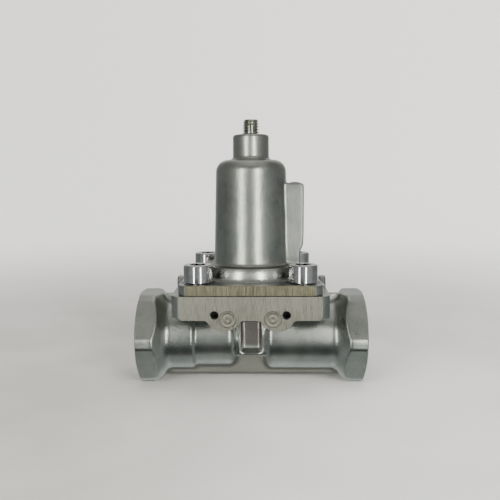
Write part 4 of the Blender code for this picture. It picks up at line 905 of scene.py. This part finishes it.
barrel = spun([(0, neck_top), (neck_radius - 0.5 * mm, neck_top), (neck_radius, neck_top - 0.5 * mm),
               (neck_radius, shoulder_z + 0.9 * mm), (neck_radius + 0.9 * mm, shoulder_z),
               *arc((top_radius - 4.3 * mm, shoulder_z - 4.3 * mm), 4.3 * mm, 90, 0, 16),
               *arc((base_radius + 1.6 * mm, ring_top + 1.6 * mm), 1.6 * mm, 180, 270, 8),
               (ring_radius, ring_top), (ring_radius + ground_off, ring_top - 0.5 * mm),
               (ring_radius + ground_off, flange_top + 1.3 * mm), (foot_radius, flange_top + 0.9 * mm),
               (foot_radius, cap_low.z + over), (0, cap_low.z + over)], 160)
rib_profile = [(8 * mm, flange_top - over), (rib_foot_reach, flange_top - over),
               (rib_foot_reach, rib_step_z - 1.3 * mm), (rib_reach - 0.2 * mm, rib_step_z + 1.0 * mm),
               (rib_reach, rib_step_z + 5 * mm), *arc((rib_reach - mm, rib_top - mm), mm, 0, 90, 6),
               (8 * mm, rib_top)]
rib = raised([(x, -rib_half, z) for x, z in rib_profile], (0, 2 * rib_half, 0))
rib_lump = block((14.6 * mm, -1.6 * mm, rib_top - over), (17.4 * mm, 2.6 * mm, rib_top + 0.45 * mm))
cap_shape = cast(heaped(
    block((-cap_half, -cast_y, cap_low.z - over), (cap_half, cast_y, flange_top),
          (2, corner_rounding, 12, lambda at: True)),
    barrel, rib, rib_lump), 0.46 * mm, 5)

spring_room_radius = top_radius - 2 * mm
room_top = shoulder_z - 3 * mm
plate_stop_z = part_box("diaphragm_plate")[0].z + 3.6 * mm
turned_low = flange_top + 1.1 * mm
turned_bulge = 6.6 * mm
stop_radius = 13.4 * mm
wide = 30 * mm
cap_cuts = [
    spun([*arc((ring_radius - turned_bulge, turned_low + 0.23 * mm), turned_bulge, -2, 28, 14),
          (ring_radius - 1.2 * mm, ring_top + 0.02 * mm), (ring_radius + over, ring_top + 0.02 * mm),
          (ring_radius + over, turned_low)], 180, closed=True),
    spun([(0, neck_top + over), (screw_hole, neck_top + over), (screw_hole, room_top),
          (spring_room_radius - 2.4 * mm, room_top), (spring_room_radius, room_top - 2.4 * mm),
          (spring_room_radius, plate_stop_z), (stop_radius, plate_stop_z), (stop_radius, cap_low.z - 2 * over),
          (0, cap_low.z - 2 * over)], 95),
    block((-wide, -wide, cap_low.z - 4 * mm), (wide, wide, cap_low.z)),
]
for front in (-1, 1):
    near, far = sorted((front * half_width, front * (half_width + 2 * over)))
    cap_cuts.append(block((-wide, near, 0), (wide, far, flange_top + over)))
for x, y in screw_places.values():
    cap_cuts.append(rod(screw_hole, cap_low.z - over, flange_top + over, 2, (x, y, 0), 40))
    cap_cuts.append(rod(5.7 * mm, flange_top - 0.12 * mm, flange_top + 6.5 * mm, 2, (x, y, 0), 56))
cap = object_from(fitted(cap_shape, cap_cuts), "cap_casting", 32)

skin = cast_finish("cap_alloy")
across, deep, tall = (skin.axis(index) for index in range(3))
radius = (across * across + deep * deep).math("SQRT")
sheared = deep.math("ABSOLUTE").between(face_y - 0.06 * mm, face_y)
ground(skin, sheared, (0.39, 0.365, 0.255), (0.13, 0.12, 0.075), 0.24 * mm)
turned = tall.between(turned_low - 0.2 * mm, turned_low)
turned = turned * radius.between(ring_radius + 0.3 * mm, ring_radius + 0.1 * mm)
turned = turned * tall.between(ring_top + 0.3 * mm, ring_top + 0.1 * mm) * radius.between(17.1 * mm, 17.6 * mm)
# Painted shade: the top face of the turned ring is painted dark.
ring_top_painted_shade = tall.between(ring_top - 0.2 * mm, ring_top - 0.05 * mm)
ring_top_painted_shade = ring_top_painted_shade * tall.between(ring_top + 0.5 * mm, ring_top + 0.2 * mm) * radius.between(18 * mm, 17.4 * mm)
skin.tone = skin.mix(ring_top_painted_shade * 0.75, skin.tone, (0.16, 0.165, 0.16))
# Painted shade round the screw heads: the flange top is painted dark close round each head, and the bright turned
# ring is painted darker near them.
head_x, head_y = (value.math("ABSOLUTE") - abs(centre)
                  for value, centre in zip((across, deep), screw_places["front_right"]))
from_head = (head_x * head_x + head_y * head_y).math("SQRT")
skin.tone = skin.mix(from_head.between(6.6 * mm, 5.8 * mm) * 0.7, skin.tone, (0.16, 0.16, 0.155))
rings = skin.noise(0.25 * mm, skin.stretched((0.02, 0.02, 1)), detail=3)
shade = from_head.between(10 * mm, 7.4 * mm)
ring_tone = skin.mix(shade * 0.8, (0.74, 0.74, 0.71), (0.12, 0.125, 0.12))
skin.tone = skin.mix(turned, skin.tone, ring_tone)
neck = tall.between(shoulder_z + 0.5 * mm, shoulder_z + 1.5 * mm)
skin.tone = skin.mix(neck * 0.5, skin.tone, (0.66, 0.66, 0.62))
flat_rib = across.between(12.5 * mm, 13.5 * mm) * deep.math("ABSOLUTE").between(rib_half + 0.2 * mm, rib_half)
flat_rib = flat_rib * tall.between(ring_top + 0.5 * mm, ring_top + 1.5 * mm)
rib_shade = flat_rib * tall.between(rib_top - 4 * mm, rib_top - 0.5 * mm) * 0.6
skin.tone = skin.mix(rib_shade, skin.tone, (0.25, 0.26, 0.245))
skin.rough = skin.rough * (1 - turned) + turned * (0.24 + rings * 0.06) + flat_rib * 0.14
skin.set(Base_Color=skin.tone, Roughness=skin.rough,
              Normal=skin.bump(skin.height * (1 - turned), 0.032 * mm))
stand_in(cap, skin, "housing", "spring_cap")


# ---- Cap screws ------------------------------------------
# Four M6 socket head screws in bright zinc plate clamp the cap, the diaphragm's rim and the body.
# Each has a rounded head with a hexagon socket, a smooth neck and a rolled thread.
head_radius = 5.0 * mm
head_height = 6.0 * mm
shank_radius = 3.0 * mm
screw_pitch = 1.0 * mm


def hex_recess(flats, top, depth):
    """A hexagon socket, open at the top."""
    corner = flats / 2 / math.cos(math.radians(30))
    shape = bmesh.new()
    bmesh.ops.create_cone(shape, cap_ends=True, segments=6, radius1=corner, radius2=corner, depth=depth + over)
    bmesh.ops.translate(shape, verts=shape.verts, vec=(0, 0, top + (over - depth) / 2))
    return shape


zinc = zinc_finish("bright_zinc", (0.74, 0.73, 0.73), (0.62, 0.61, 0.62), 0.018)
for number, (place, (x, y)) in enumerate(screw_places.items()):
    screw_low, screw_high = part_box("cap_screw_" + place)
    head_z = screw_high.z - head_height
    foot_z = screw_low.z
    shape = spun([(0, screw_high.z), (3.55 * mm, screw_high.z),
                  *arc((head_radius - 0.6 * mm, screw_high.z - 0.6 * mm), 0.6 * mm, 90, 0, 8),
                  (head_radius, head_z + 0.15 * mm), (head_radius - 0.15 * mm, head_z),
                  (shank_radius, head_z), (shank_radius, foot_z + 0.6 * mm),
                  (shank_radius - 0.6 * mm, foot_z), (0, foot_z)], 72)
    recess = hex_recess(5 * mm, screw_high.z, 3 * mm)
    mouth_z = screw_high.z - 0.35 * mm
    mouth = spun([(0, screw_high.z + over), (4.0 * mm, screw_high.z + over), (2.5 * mm, mouth_z),
                  (0, mouth_z)], 48)
    grooves = thread(shank_radius, screw_pitch, 0.55 * mm, foot_z - 0.4 * mm, head_z - 2 * mm, 32)
    shape = fitted(shape, [recess, mouth, grooves])
    turn = Matrix.Translation((x, y, 0)) @ Matrix.Rotation(math.radians(17 + 23 * number), 4, "Z")
    bmesh.ops.transform(shape, matrix=turn, verts=shape.verts)
    screw = object_from(shape, "socket_screw_" + place, 30)
    stand_in(screw, zinc, "housing", "cap_screw_" + place)


# ---- Adjusting screw -------------------------------------
# An M6 screw through the neck sets the opening pressure. It is plated and lightly yellowed, with
# a chamfered tip and a small hexagon socket, and its foot turns in the dimple of the spring seat.
set_low, set_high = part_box("adjusting_screw")
shape = spun([(0, set_high.z), (2.25 * mm, set_high.z), (2.45 * mm, set_high.z - 0.15 * mm),
              (2.75 * mm, set_high.z - 0.8 * mm), (shank_radius, set_high.z - 2.0 * mm),
              (shank_radius, set_low.z + 0.7 * mm), (2.3 * mm, set_low.z), (0, set_low.z)], 72)
grooves = thread(shank_radius, screw_pitch, 0.72 * mm, set_low.z + 1.5 * mm, set_high.z + 0.6 * mm, 48)
shape = fitted(shape, [hex_recess(3 * mm, set_high.z, 2.6 * mm), grooves])
adjuster = object_from(shape, "adjuster_thread", 30)
yellow = zinc_finish("yellow_zinc", (0.62, 0.64, 0.57), (0.42, 0.45, 0.38), 0.16)
stand_in(adjuster, yellow, "adjuster", "adjusting_screw")
